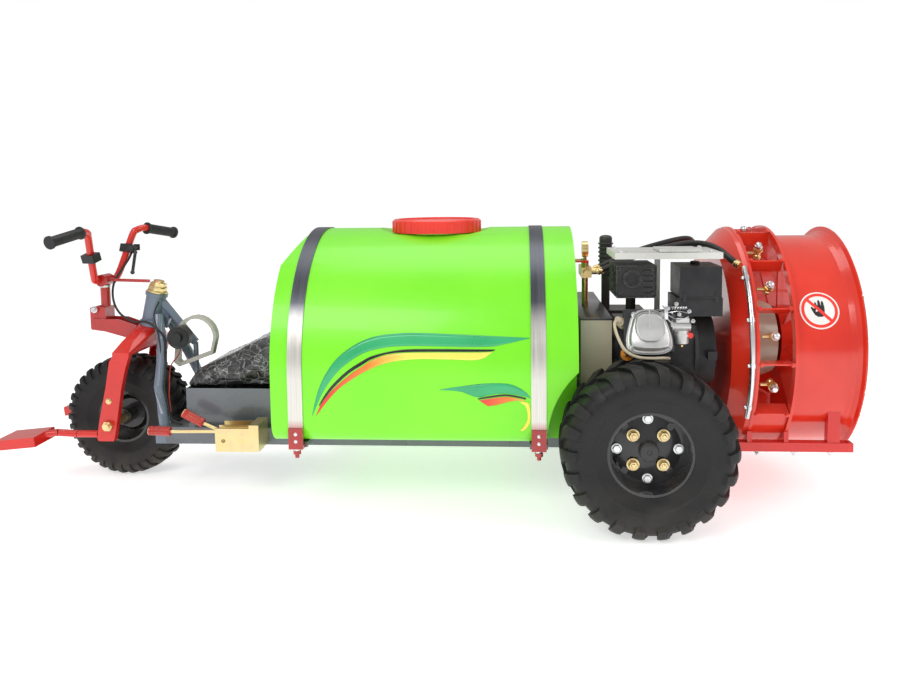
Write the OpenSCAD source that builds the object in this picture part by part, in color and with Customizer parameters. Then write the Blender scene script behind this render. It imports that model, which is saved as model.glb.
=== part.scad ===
/* [Running gear] */
// Distance between the front and rear axles
wheelbase = 1593; // [1540:1:1640]
// Radius of the front tyre
front_tyre_r = 192; // [185:1:195]
// Width of the front tyre
front_tyre_w = 140; // [120:1:146]
// Radius of the rear tyres
rear_tyre_r = 228; // [220:1:232]
// Width of the rear tyres
rear_tyre_w = 178; // [160:1:180]
// Distance between the middles of the rear tyres
rear_track = 828; // [820:1:900]

/* [Frame] */
// Outer size of the square main rails
rail_size = 50; // [40:1:50]
// Half the distance between the rail centres
rail_y = 170; // [165:1:175]
// Height of the rails' underside
rail_z = 152; // [150:1:152]
// Rake of the steering axis
steer_rake = 13; // [12:0.5:14]

/* [Tank] */
// Half the width of the tank
tank_half_w = 385; // [370:1:390]
// Distance from the rear axle to the tank's front face
tank_front = 1009; // [1000:1:1015]
// Distance from the rear axle to the tank's rear face
tank_rear = 174; // [170:1:200]
// Wall of the moulded tank
tank_wall = 6; // [4:0.5:8]
// Radius of the screw lid
lid_r = 138; // [130:1:140]

/* [Fan] */
// Height of the fan's axis
fan_z = 442; // [436:1:446]
// Radius of the two outlet rings
ring_r = 340; // [330:1:345]
// Radius inside the fan duct
duct_r = 309; // [305:1:312]
// Number of impeller blades
blade_count = 8; // [6:1:10]

/* [Handlebar] */
// Turn of the handlebar in its clamp
bar_turn = -17; // [-20:1:0]
// Radius of the handlebar tube
bar_r = 11; // [10:0.5:12]

/* [Hidden] */
$fn = 48;
fit = 0.05;
gap = 0.4;

// Reach of the object ahead of and behind the rear axle, which centres its box
front_reach = 1902;
rear_reach = 596;
axle_x = (front_reach - rear_reach) / 2;

front_x = -wheelbase;
rail_top = rail_z + rail_size;
rail_front = -1395;
rail_rear = 203;

// The steering axis passes through this point at the head tube's lower face
steer_x = -1515;
steer_z = 480;
head_h = 108;
head_r = 31;
stem_r = 16;
leg_in = 128;
leg_out = 150;
front_axle_r = 10;
front_bead_r = 80;

rear_bead_r = 108;
shaft_r = 15;
shaft_y = rear_track / 2;

tank_arc_z = 402;
tank_floor = 215;
tank_corner = 60;
lid_x = -585;
neck_r = 122;
dish_z = 772;
strap_xs = [-940.5, -280];
strap_w = 40;
strap_t = 3;
arch_r = 258;
arch_y = 304;

// Crankshaft, fan shaft and pump shaft all lie along X
crank_y = -190;
crank_z = 450;
pump_y = 225;
belt_x = -125;
belt_w = 15;
crank_pulley_r = 48;
fan_pulley_r = 64;
pump_pulley_r = 64;
fan_shaft_r = 15;
cylinder_tilt = -25;
cylinder_x = 14;

ring1_x = 300;
ring2_x = 400;
bell_x = 587;
vane_angles = [15.5, 41, 66.5, 92, 117.5];
nozzle_angles = [28, 54, 79, 104];
base_y = 258;

bar_x = -1662;
bar_z = 626;

cable_r = 3.5;
// From the brake perch to the steering axis
cable_upper_path = [
  [-1598, 70, 720], [-1606, 55, 690], [-1622, 34, 655], [-1634, 8, 620], [-1632, -12, 585],
  [-1620, -26, 550], [-1598, -36, 522], [-1570, -42, 505], [-1544, -45, 496]
];
// From the steering axis down the neck to the rail
cable_lower_path = [
  [-1520, -45, 498], [-1498, -50, 494], [-1478, -62, 486], [-1461, -67, 474], [-1448, -68, 460],
  [-1440, -72, 440], [-1431, -91, 408], [-1422, -112, 375], [-1417, -130, 345], [-1412, -151, 312],
  [-1401, -159, 275], [-1390, -169, 235], [-1378, -172, 216], [-1352, -176, 207]
];
delivery_path = [
  [-91.8, -40, 650], [-60, -44, 664], [0, -50, 690], [60, -56, 712], [120, -66, 728],
  [170, -84, 738], [210, -124, 738], [236, -176, 726], [256, -224, 704], [274, -248, 688]
];
suction_path = [
  [-173.5, 225, 262], [-140, 225, 266], [-120, 225, 280], [-100, 225, 305], [-84, 225, 322],
  [-70, 225, 330], [-56.5, 225, 331]
];

// ---------- helpers ----------

// Places children measured from the point on the ground under the rear axle
module at_axle() translate([axle_x, 0, 0]) children();

module block(x0, x1, y0, y1, z0, z1) translate([x0, y0, z0]) cube([x1 - x0, y1 - y0, z1 - z0]);

module cyl_x(x0, x1, y, z, r) translate([x0, y, z]) rotate([0, 90, 0]) cylinder(r = r, h = x1 - x0);

module cyl_y(y0, y1, x, z, r) translate([x, y1, z]) rotate([90, 0, 0]) cylinder(r = r, h = y1 - y0);

module cyl_z(z0, z1, x, y, r) translate([x, y, z0]) cylinder(r = r, h = z1 - z0);

module rod(p, q, r) {
  d = q - p;
  translate(p) rotate([0, acos(d[2] / norm(d)), atan2(d[1], d[0])]) cylinder(r = r, h = norm(d));
}

module bent_tube(points, r) {
  for (i = [0:len(points) - 2]) rod(points[i], points[i + 1], r);
  for (i = [1:len(points) - 2]) translate(points[i]) sphere(r = r + 0.3);
}

module plate_xz(points, y0, y1) translate([0, y1, 0]) rotate([90, 0, 0]) linear_extrude(y1 - y0) polygon(points);

module along_x(x0, x1) translate([x0, 0, 0]) rotate([90, 0, 90]) linear_extrude(x1 - x0) children();

module both_sides() {
  children();
  mirror([0, 1, 0]) children();
}

module round_y() rotate([90, 0, 0]) rotate_extrude($fn = 96) children();

module round_x(z) translate([0, 0, z]) rotate([0, 90, 0]) rotate_extrude($fn = 96) children();

module hex_y(y0, y1, x, z, r) translate([x, y1, z]) rotate([90, 0, 0]) cylinder(r = r, h = y1 - y0, $fn = 6);

module hex_z(z0, z1, x, y, r) translate([x, y, z0]) cylinder(r = r, h = z1 - z0, $fn = 6);

// Children drawn in the steering frame: Z runs up the steering axis
module on_steer() translate([steer_x, 0, steer_z]) rotate([0, steer_rake, 0]) children();

// Children drawn around the fan's axis, turned from straight up towards the left side
module fan_spoke(angle) translate([0, 0, fan_z]) rotate([angle, 0, 0]) children();

// A swept tube with flat ends, along a list of points
function tangent(p, i) = let (a = p[max(i - 1, 0)], b = p[min(i + 1, len(p) - 1)]) (b - a) / norm(b - a);
function side_of(t) = let (s = cross(t, abs(t[2]) < 0.9 ? [0, 0, 1] : [1, 0, 0])) s / norm(s);
function tube_ring(p, i, r, sides) =
  let (t = tangent(p, i), s = side_of(t), u = cross(s, t))
  [for (k = [0:sides - 1]) p[i] + r * (s * cos(360 * k / sides) + u * sin(360 * k / sides))];
module swept_tube(p, r, sides) {
  n = len(p);
  points = [for (i = [0:n - 1]) each tube_ring(p, i, r, sides)];
  walls = [
    for (i = [0:n - 2]) for (k = [0:sides - 1])
    let (a = i * sides + k, b = i * sides + (k + 1) % sides)
    each [[a, b, b + sides], [a, b + sides, a + sides]]
  ];
  caps = [[for (k = [sides - 1:-1:0]) k], [for (k = [0:sides - 1]) (n - 1) * sides + k]];
  polyhedron(points, concat(walls, caps), convexity = 6);
}

// ---------- frame ----------

module main_rails() {
  color("dimgray") at_axle() both_sides() difference() {
    block(rail_front, rail_rear, rail_y - rail_size / 2, rail_y + rail_size / 2, rail_z, rail_top);
    block(rail_front - 1, rail_rear + 1, rail_y - rail_size / 2 + 4, rail_y + rail_size / 2 - 4,
      rail_z + 4, rail_top - 4);
  }
}

module crossmembers() {
  inner = rail_y - rail_size / 2;
  color("dimgray") at_axle() {
    for (x = [-1383, -1000, -620, -240, 140]) block(x, x + 40, -inner, inner, rail_z + 5, rail_top - 5);
    // Cradle beams under the tank, which carry the strap feet
    for (x = strap_xs) {
      block(x - 25, x + 25, -365, 365, rail_top, tank_floor);
    }
    // Engine table on four legs
    difference() {
      block(-62, 178, -300, -74, 302, 310);
      for (x = [-20, 135]) for (y = [-270, -110]) cyl_z(300, 312, x, y, 5.25);
    }
    for (x = [-62, 100]) {
      block(x, x + 28, -195, -165, rail_top, 302);
      block(x, x + 28, -102, -78, rail_top - 5, 302);
      block(x, x + 28, -inner, -78, rail_top - 30, rail_top - 5);
    }
    // Pump table
    block(-60, 90, 145, 300, 302, 310);
    block(-60, -34, 150, 190, rail_top, 302);
    block(55, 85, 150, 190, rail_top, 302);
  }
}

module neck_legs() {
  leg = [
    [-1478, -30, 515], [-1455, -58, 440], [-1440, -100, 375], [-1432, -142, 312],
    [-1412, -166, 235], [-1404, -172, 196]
  ];
  color("slategray") at_axle() {
    both_sides() difference() {
      union() {
        swept_tube(leg, 16, 16);
        block(-1425, rail_front, -195, -150, rail_z, rail_top);
      }
      on_steer() translate([0, 0, -5]) cylinder(r = head_r + 5.5, h = head_h + 20);
    }
    // Diagonal brace behind the head tube
    difference() {
      rod([-1478, 0, 560], [-1370, 0, 423], 13);
      on_steer() cylinder(r = head_r + 0.1, h = head_h);
    }
    cyl_z(rail_top - 4.8, 423, -1370, 0, 8);
    // Gusset between the two legs
    difference() {
      plate_xz([[-1500, 500], [-1500, 560], [-1462, 552], [-1450, 500], [-1462, 470]], -9, 9);
      on_steer() cylinder(r = head_r + 0.1, h = head_h);
      on_steer() translate([0, 0, -6]) cylinder(r = head_r + 5.5, h = 18.1);
    }
  }
}

module head_tube() {
  color("lightslategray") at_axle() on_steer() difference() {
    union() {
      cylinder(r = head_r, h = head_h);
      cylinder(r = head_r + 5, h = 12);
      translate([0, 0, head_h - 10]) cylinder(r = head_r + 4, h = 10);
    }
    translate([0, 0, -1]) cylinder(r = stem_r + fit, h = head_h + 2);
  }
}

module guard_hoop() {
  color("darkgray") at_axle() difference() {
    translate([0, -28, 0]) plate_xz([
      for (a = [0:15:180]) [-1352 + 66 * cos(a), 446 + 70 * sin(a)],
      [-1426, 366], [-1410, 352], [-1300, 392]
    ], -14, 14);
    translate([0, -28, 0]) plate_xz([
      for (a = [0:15:180]) [-1352 + 56 * cos(a), 446 + 60 * sin(a)],
      [-1412, 372], [-1406, 366], [-1306, 404]
    ], -15, 15);
  }
}

module horn() {
  color("black") at_axle() {
    cyl_y(-78, -44, -1394, 452, 34);
    cyl_y(-92, -78, -1394, 452, 14);
    block(-1406, -1390, -44, -20, 446, 458);
  }
}

module seat_box() {
  front = -1338;
  rear = -1018;
  outline = [[front, 314], [front, 236], [front + 26, rail_top], [rear, rail_top], [rear, 314]];
  inside = [[front + 3, 315], [front + 3, 237], [front + 28, rail_top + 3], [rear - 3, rail_top + 3], [rear - 3, 315]];
  color("gray") at_axle() difference() {
    plate_xz(outline, -165, 165);
    plate_xz(inside, -162, 162);
  }
}

module seat_cushion() {
  color("black") at_axle() plate_xz([
    [-1352, 314.2], [-1358, 334], [-1290, 370], [-1204, 408], [-1125, 450], [-1070, 468],
    [-1024, 468], [-1018, 440], [-1018, 314.2]
  ], -165, 165);
}

module battery() {
  color("darkslategray") at_axle() {
    block(-1230, -1050, -85, 85, rail_top + 4, 296);
    for (y = [-60, 60]) cyl_z(296, 306, -1070, y, 8);
  }
}

module lever_gate() {
  color("goldenrod") at_axle() difference() {
    union() {
      block(-1208, -1108, -282, -198, 158, 172);
      block(-1208, -1108, -282, -276, 172, 226);
      block(-1208, -1108, -204, -198, 172, 226);
      block(-1208, -1108, -247.5, -243.5, 172, 226);
      block(-1108, -1080, -282, -195.5, 158, 236);
    }
    for (y = [-283, -248.5, -205]) {
      cyl_y(y, y + 9, -1125, 212, 6);
      cyl_y(y, y + 9, -1184, 190, 6);
    }
  }
}

// ---------- tank ----------

// Cross-section of the tank, drawn in from its skin by inset
module tank_section(inset) {
  w = tank_half_w - inset;
  c = tank_corner - inset;
  low = tank_floor + inset + c;
  polygon([
    for (a = [0:6:180]) [w * cos(a), tank_arc_z + w * sin(a)],
    for (a = [180:15:270]) [-w + c + c * cos(a), low + c * sin(a)],
    for (a = [270:15:360]) [w - c + c * cos(a), low + c * sin(a)]
  ]);
}

// The closed form of the tank, with its chamfered front top edge
module tank_form(inset) {
  difference() {
    along_x(-tank_front + inset, -tank_rear - inset) tank_section(inset);
    translate([-tank_front, 0, 694]) rotate([0, -60, 0]) translate([-200, -500, -inset]) cube([600, 1000, 300]);
  }
}

// Space taken out of the tank for each rear wheel
module wheel_arches(grow) {
  both_sides() cyl_y(arch_y - grow, 500, 0, rear_tyre_r, arch_r + grow);
}

module tank() {
  color("greenyellow") at_axle() difference() {
    union() {
      difference() {
        tank_form(0);
        cyl_z(dish_z, 830, lid_x, 0, lid_r + 12);
      }
      cyl_z(dish_z - 4, dish_z + 26, lid_x, 0, neck_r);
    }
    difference() {
      tank_form(tank_wall);
      wheel_arches(tank_wall);
      cyl_z(dish_z - tank_wall, 830, lid_x, 0, lid_r + 20);
    }
    wheel_arches(0);
    cyl_z(dish_z - 60, 830, lid_x, 0, neck_r - 8);
  }
}

module tank_lid() {
  ribs = 36;
  color("red") at_axle() translate([lid_x, 0, 0]) {
    difference() {
      union() {
        translate([0, 0, dish_z + 2]) cylinder(r = lid_r - 2, h = 36);
        translate([0, 0, dish_z + 38]) cylinder(r1 = lid_r - 2, r2 = lid_r - 8, h = 4);
        for (i = [0:ribs - 1]) rotate(i * 360 / ribs) translate([lid_r - 2.5, -3, dish_z + 2]) cube([2.5, 6, 34]);
      }
      translate([0, 0, dish_z + 1]) cylinder(r = neck_r + 1.5, h = 28);
      translate([0, 0, dish_z + 38]) cylinder(r = lid_r - 20, h = 5);
    }
  }
}

module tank_straps() {
  skin = 0.3;
  inner = tank_half_w + skin;
  outer = inner + strap_t;
  foot_z = rail_top + 22;
  color("silver") at_axle() for (x = strap_xs) along_x(x - strap_w / 2, x + strap_w / 2) {
    intersection() {
      difference() {
        translate([0, tank_arc_z]) circle(r = outer, $fn = 96);
        translate([0, tank_arc_z]) circle(r = inner, $fn = 96);
      }
      translate([-500, tank_arc_z]) square([1000, 500]);
    }
    for (s = [-1, 1]) translate([s * (inner + strap_t / 2) - strap_t / 2, foot_z]) square([strap_t, tank_arc_z - foot_z]);
  }
}

module strap_bolts() {
  y = tank_half_w + 2.5;
  color("darkred") at_axle() for (x = strap_xs) both_sides() {
    block(x - 20, x + 20, y + 1.2, y + 5, 214, 262);
    block(x - 20, x + 20, 365.2, y + 5, 204, 214);
    cyl_z(178, 204, x, y - 8, 6);
    hex_z(188, 198, x, y - 8, 11);
  }
}

module strainer_basket() {
  slots = 8;
  color("white") at_axle() translate([lid_x, 0, 0]) difference() {
    union() {
      translate([0, 0, dish_z - 110]) cylinder(r1 = 96, r2 = 106, h = 132);
      translate([0, 0, dish_z + 26.2]) cylinder(r = neck_r - 1, h = 2);
      translate([0, 0, dish_z + 20]) cylinder(r = 106, h = 6.4);
    }
    translate([0, 0, dish_z - 107]) cylinder(r1 = 93, r2 = 103, h = 140);
    for (i = [0:slots - 1]) rotate(i * 360 / slots) translate([60, -24, dish_z - 95]) cube([60, 48, 80]);
  }
}

// ---------- engine ----------

// Children drawn along the cylinder, which points along -Y from the crankshaft
module on_cylinder() translate([cylinder_x, crank_y, crank_z]) rotate([cylinder_tilt, 0, 0]) children();

module engine_block() {
  fins = 6;
  color("darkslategray") at_axle() {
    difference() {
      union() {
        block(-54, 148, -285, -80, 322, 528);
        block(-58, 150, -296, -66, 310, 322);
        cyl_x(-66, -54, crank_y, crank_z, 45);
        on_cylinder() {
          translate([-58, -140, -56]) cube([116, 60, 112]);
          translate([-64, -168, -54]) cube([128, 26, 116]);
        }
      }
      on_cylinder() for (i = [0:fins - 1]) translate([-70, -104 - i * 7, -70]) cube([140, 3.4, 18]);
      cyl_x(-67, 40, crank_y, crank_z, shaft_r + fit);
      for (x = [-20, 135]) for (y = [-270, -110]) cyl_z(300, 323, x, y, 5.25);
    }
    // Oil filler neck and cap at the lower left of the crankcase
    cyl_y(-306, -285, -38, 452, 14);
    cyl_y(-314, -306, -38, 452, 17);
    // Backplate towards the starter
    cyl_x(148, 156, crank_y, crank_z, 108);
  }
}

module rocker_cover() {
  color("silver") at_axle() on_cylinder() {
    hull() {
      translate([-58, -174, -56]) cube([116, 5.8, 112]);
      translate([-46, -192, -40]) cube([92, 4, 88]);
    }
    translate([-34, -200, -12]) cube([68, 10, 50]);
    for (x = [-50, 50]) for (z = [-48, 48]) translate([x, -174, z]) rotate([90, 0, 0]) cylinder(r = 6, h = 12, $fn = 24);
  }
}

module muffler() {
  color("dimgray") at_axle() {
    difference() {
      block(-72, 34, -338, -182, 612, 698);
      cyl_y(-339, -320, -30, 662, 17);
      for (i = [0:4]) block(-2, 26, -339, -334, 622 + i * 15, 630 + i * 15);
      for (i = [0:4]) block(-73, -69, -326 + i * 28, -312 + i * 28, 630, 684);
    }
    cyl_y(-182, -150, -10, 640, 16);
    cyl_z(528.2, 640, -10, -166, 14);
  }
}

module air_filter() {
  color("black") at_axle() {
    block(96, 206, -336, -200, 612, 694);
    block(90, 210, -332, -196, 560, 609);
    cyl_z(608.5, 612.5, 150, -260, 30);
    block(126, 147.8, -250, -214, 528.2, 560);
  }
}

module carburettor() {
  color("silver") at_axle() {
    cyl_x(80, 128, -316, 532, 15);
    cyl_z(486, 522, 104, -316, 21);
    block(88, 122, -336, -300, 544, 556);
    cyl_z(556, 559.6, 104, -316, 8);
  }
}

module recoil_starter() {
  color("black") at_axle() {
    difference() {
      cyl_x(156.2, 204, crank_y, crank_z, 104);
      cyl_x(150, 196, crank_y, crank_z, 96);
      for (i = [0:11]) translate([0, crank_y, crank_z]) rotate([i * 30, 0, 0]) block(190, 210, -5, 5, 30, 78);
    }
    cyl_x(204, 214, crank_y, crank_z, 22);
    block(176, 200, -322, -290, 440, 462);
  }
}

module engine_top_plate() {
  color("lightgray") at_axle() difference() {
    union() {
      block(-78, 204, -352, -159, 730, 733);
      block(-78, 204, -352, -349, 716, 730);
      block(-78, -75, -349, -159, 716, 730);
      block(56, 72, -175, -172, 528.2, 730);
      block(48, 80, -200, -172, 528.2, 531);
    }
    for (x = [-40, 10]) cyl_z(729, 734, x, -300, 5);
  }
}

module crank_pulley() {
  color("slategray") at_axle() {
    cyl_x(-150, 36, crank_y, crank_z, shaft_r);
    round_pulley(crank_y, crank_z, crank_pulley_r);
  }
}

// Two-groove V-belt pulley around an axis along X
module round_pulley(y, z, r) {
  w = 2 * belt_w + 10;
  translate([belt_x - w / 2, y, z]) rotate([0, 90, 0]) rotate_extrude($fn = 96) polygon([
    [0, 0], [r, 0], [r, 4], [r - 11, 7.5], [r - 11, 14.5], [r, 18], [r, 22],
    [r - 11, 25.5], [r - 11, 32.5], [r, 36], [r, w], [0, w]
  ]);
}

module fan_impeller() {
  tip = duct_r - 7;
  color("firebrick") at_axle() {
    cyl_x(-150, 520, 0, fan_z, fan_shaft_r);
    round_pulley(0, fan_z, fan_pulley_r);
    round_x(fan_z) polygon([[0, 442], [96, 442], [96, 505], [70, 522], [0, 530]]);
    for (i = [0:blade_count - 1]) fan_spoke(i * 360 / blade_count)
      translate([474, 0, 88]) rotate([0, 0, 38]) translate([-32, -2.5, 0]) cube([64, 5, tip - 92]);
  }
}

module pump_body() {
  color("darkslategray") at_axle() {
    difference() {
      block(-56, 84, 160, 292, 310, 500);
      cyl_x(-57, 30, pump_y, fan_z, shaft_r + fit);
    }
    cyl_z(500, 620, -44, 180, 14);
    cyl_z(620, 738, -44, 180, 21);
    for (y = [190, 226, 262]) cyl_x(84, 104, y, 372, 15);
    cyl_y(292, 304, -40, 340, 13);
  }
}

module pump_pulley() {
  color("slategray") at_axle() {
    cyl_x(-150, 26, pump_y, fan_z, shaft_r);
    round_pulley(pump_y, fan_z, pump_pulley_r);
  }
}

module distributor() {
  color("goldenrod") at_axle() {
    difference() {
      union() {
        block(-142, -112, -62, 62, 634, 664);
        for (y = [-30, 30]) cyl_z(664, 676, -127, y, 9);
      }
      cyl_z(666, 677, -127, -30, 4 + fit);
    }
    for (y = [-40, 0, 40]) cyl_x(-112, -92, y, 650, 8);
    cyl_y(-84, -62, -127, 649, 10);
    cyl_z(538.2, 634, -127, 0, 10);
    // Pressure gauge
    cyl_z(664, 696, -127, 0, 5);
    cyl_x(-136, -118, 0, 716, 24);
    // Second valve's handle, drawn closed
    cyl_z(676, 684, -127, 30, 9);
    block(-170, -127, 25, 35, 678, 683);
  }
}

module valve_handle() {
  color("red") at_axle() {
    cyl_z(676.4, 684, -127, -30, 9);
    cyl_z(667, 677, -127, -30, 4);
    block(-170, -127, -35, -25, 678, 683);
  }
}

module belt_guard() {
  color("tan") at_axle() difference() {
    block(-160, -74, -262, 306, 352, 538);
    block(-157, -77, -259, 303, 355, 535);
    cyl_x(-80, -70, crank_y, crank_z, 50);
    cyl_x(-80, -70, 0, fan_z, 40);
    cyl_x(-80, -70, pump_y, fan_z, 40);
    block(-150, -90, -20, 20, 340, 360);
  }
}

// Open belt around two pulleys of the same depth
module belt(y1, z1, r1, y2, z2, r2, x) {
  tilt = atan2(z2 - z1, y2 - y1);
  span = norm([y2 - y1, z2 - z1]);
  wrap = 90 - asin((r1 - r2) / span);
  translate([x, y1, z1]) rotate([tilt, 0, 0]) along_x(-3.2, 3.2) difference() {
    belt_outline(r1 + 9, r2 + 9, span, wrap);
    belt_outline(r1, r2, span, wrap);
  }
}

module belt_outline(r1, r2, span, wrap) polygon([
  for (i = [0:16]) let (a = wrap + i * (360 - 2 * wrap) / 16) [r1 * cos(a), r1 * sin(a)],
  for (i = [0:16]) let (a = -wrap + i * 2 * wrap / 16) [span + r2 * cos(a), r2 * sin(a)]
]);

module belts() {
  r = crank_pulley_r - 10;
  color("black") at_axle() {
    belt(crank_y, crank_z, r, 0, fan_z, fan_pulley_r - 10, belt_x - 9);
    belt(0, fan_z, fan_pulley_r - 10, pump_y, fan_z, pump_pulley_r - 10, belt_x + 9);
  }
}

module hoses() {
  color("black") at_axle() {
    both_sides() swept_tube(delivery_path, 9, 12);
    swept_tube(suction_path, 14, 12);
  }
}

// ---------- running gear ----------

// Half section of a tyre: radius along X, width along Y
module tyre_section(r, w, bead) {
  h = r - bead;
  side = [
    [bead, 0.36 * w], [bead + 0.10 * h, 0.36 * w], [bead + 0.28 * h, 0.46 * w], [bead + 0.5 * h, 0.5 * w],
    [bead + 0.72 * h, 0.485 * w], [bead + 0.88 * h, 0.43 * w], [r - 0.03 * h, 0.33 * w], [r, 0.2 * w]
  ];
  inner = [
    [bead - 1, 0.36 * w - 12], [bead + 0.28 * h, 0.46 * w - 11], [bead + 0.6 * h, 0.5 * w - 11],
    [bead + 0.78 * h, 0.4 * w - 8], [r - 0.16 * h, 0.2 * w]
  ];
  n = len(side) - 1;
  m = len(inner) - 1;
  difference() {
    polygon([for (p = side) p, for (i = [n:-1:0]) [side[i][0], -side[i][1]]]);
    polygon([for (p = inner) p, for (i = [m:-1:0]) [inner[i][0], -inner[i][1]]]);
  }
}

// Half section of a pressed rim with its disc set out by offset
module rim_section(bead, w, offset, hub) {
  e = 0.36 * w;
  lip = 0.09 * (w + bead);
  polygon([
    [hub, offset - 5], [hub + 26, offset - 5], [bead - 22, offset - 20], [bead - 4, offset - 20],
    [bead - 4, -e - 5], [bead + 10, -e - 5], [bead + 10, -e - 0.3], [bead - 0.3, -e - 0.3],
    [bead - 0.3, e + 0.3], [bead + 10, e + 0.3], [bead + 10, e + 5], [bead - 4, e + 5],
    [bead - 4, offset - 14], [bead - 20, offset - 14], [hub + 26, offset + 1], [hub, offset + 1]
  ]);
}

module front_tyre() {
  color("black") at_axle() translate([front_x, 0, front_tyre_r]) round_y() tyre_section(front_tyre_r, front_tyre_w, front_bead_r);
}

module front_rim() {
  color("black") at_axle() translate([front_x, 0, front_tyre_r]) {
    round_y() rim_section(front_bead_r, front_tyre_w, 8, 22);
    round_y() difference() {
      translate([0, -58]) square([26, 116]);
      translate([0, -59]) square([front_axle_r + fit, 118]);
    }
  }
}

module rear_tyre(side) {
  translate([0, side * shaft_y, rear_tyre_r]) round_y() tyre_section(rear_tyre_r, rear_tyre_w, rear_bead_r);
}

module rear_rim(side) {
  nuts = 4;
  translate([0, side * shaft_y, rear_tyre_r]) rotate([0, 0, side > 0 ? 180 : 0]) {
    round_y() rim_section(rear_bead_r, rear_tyre_w, 22, 0);
    // Hub and half shaft towards the middle, hub cap outside
    cyl_y(-19, 62, 0, 0, 40);
    cyl_y(60, shaft_y - 74, 0, 0, shaft_r);
    cyl_y(-44, -20, 0, 0, 24);
    for (i = [0:nuts - 1]) rotate([0, 45 + i * 360 / nuts, 0]) {
      hex_y(-30, -8, 55, 0, 12);
      hex_y(-12, 8, 83, 0, 10);
    }
  }
}

module rear_tyre_left() {
  color("black") at_axle() rear_tyre(-1);
}

module rear_tyre_right() {
  color("black") at_axle() rear_tyre(1);
}

module rear_rim_left() {
  color("black") at_axle() rear_rim(-1);
}

module rear_rim_right() {
  color("black") at_axle() rear_rim(1);
}

module transaxle() {
  z = rear_tyre_r;
  tube_end = shaft_y - 66;
  color("dimgray") at_axle() difference() {
    union() {
      cyl_y(-72, 72, 0, z, 78);
      cyl_y(-tube_end, tube_end, 0, z, 25.5);
      for (y = [-rail_y, rail_y]) block(-30, 30, y - 20, y + 20, rail_top, z + 10);
      cyl_x(-140, -60, 30, z + 10, 30);
      cyl_x(-90, -70, 30, z + 10, 44);
    }
    for (s = [-1, 1]) cyl_y(min(s * 74, s * 500), max(s * 74, s * 500), 0, z, shaft_r + fit);
  }
}

// ---------- steered front end ----------

module fork_crown() {
  color("red") at_axle() {
    on_steer() {
      translate([0, 0, -18]) cylinder(r = stem_r, h = head_h + 58);
      // Nut stack over the head tube
      translate([0, 0, head_h + gap]) cylinder(r = 29, h = 7);
      translate([0, 0, head_h + 7]) cylinder(r = 25, h = 12, $fn = 6);
      translate([0, 0, head_h + 21]) cylinder(r = 22, h = 11, $fn = 6);
    }
    hull() {
      on_steer() translate([0, 0, -40]) cylinder(r = 34, h = 39.5, $fn = 32);
      both_sides() block(-1572, -1520, leg_in, leg_out, 408, 418);
      both_sides() block(-1560, -1524, leg_in - 30, leg_in - 20, 440, 446);
    }
  }
}

module fork_legs() {
  outline = [
    [-1572, 407.8], [-1583, 390], [-1598, 310], [-1624, 200], [-1632, 150], [-1628, 142],
    [-1580, 142], [-1574, 165], [-1562, 230], [-1548, 310], [-1534, 365], [-1520, 407.8]
  ];
  color("red") at_axle() both_sides() difference() {
    plate_xz(outline, leg_in, leg_out);
    cyl_y(leg_in - 1, leg_out + 1, front_x, front_tyre_r, front_axle_r + fit);
    plate_xz([for (p = outline) [(p[0] + 1578) * 0.72 - 1578, (p[1] - 280) * 0.82 + 280]], leg_in - 1, leg_out - 6);
  }
}

module front_axle() {
  z = front_tyre_r;
  color("goldenrod") at_axle() {
    cyl_y(-172, 172, front_x, z, front_axle_r);
    both_sides() {
      hex_y(leg_out + gap, leg_out + 13, front_x, z, 16);
      cyl_y(58.5, leg_in - 0.2, front_x, z, 15);
    }
  }
}

module bar_bracket() {
  arm = [[-1543, 446], [-1548, 482], [-1606, 502], [-1690, 505], [-1696, 470], [-1652, 464], [-1580, 444]];
  color("firebrick") at_axle() {
    both_sides() difference() {
      plate_xz(arm, 28, 35);
      on_steer() translate([0, 0, -41]) cylinder(r = 36, h = 60);
    }
    difference() {
      plate_xz([[-1560, 447], [-1585, 451], [-1652, 470], [-1692, 476], [-1694, 470], [-1652, 464], [-1580, 444]], -35, 35);
      on_steer() translate([0, 0, -41]) cylinder(r = 36, h = 60);
    }
    block(-1700, -1650, -30, 30, 472, 540);
    cyl_z(540, bar_z - 12, bar_x, 0, 15);
    cyl_y(-38, 38, -1682, 535, 9);
    // Clamp around the bar
    difference() {
      cyl_y(-26, 26, bar_x, bar_z, 19);
      rotate_bar() cyl_y(-80, 80, 0, 0, bar_r + 0.1);
    }
    // Flat link to the steering head
    rod([bar_x + 18, 0, bar_z], [-1514, 0, 622], 5);
  }
}

// Children drawn at the handlebar clamp and turned with the bar
module rotate_bar() translate([bar_x, 0, bar_z]) rotate([0, 0, bar_turn]) children();

bar_side = [[0, 0, 0], [0, 32, 0], [10, 54, 22], [34, 92, 138], [44, 104, 156], [52, 126, 162]];
grip_end = [60, 262, 138];
function turned(p) = [p[0], -p[1], p[2]];

module handlebar() {
  last = len(bar_side) - 1;
  start = bar_side[last];
  tip = start + 11 * (grip_end - start) / norm(grip_end - start);
  color("red") at_axle() rotate_bar() swept_tube(concat(
    [turned(tip)], [for (i = [last:-1:1]) turned(bar_side[i])], [for (i = [1:last]) bar_side[i]], [tip]
  ), bar_r, 20);
}

module grips() {
  start = [52, 126, 162];
  color("black") at_axle() rotate_bar() for (s = [-1, 1]) {
    a = s > 0 ? start : turned(start);
    b = s > 0 ? grip_end : turned(grip_end);
    u = (b - a) / norm(b - a);
    rod(a + u * 11.5, b, 16);
    rod(b - u * 8, b, 20);
    rod(a + u * 11.5, a + u * 18, 20);
  }
}

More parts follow.
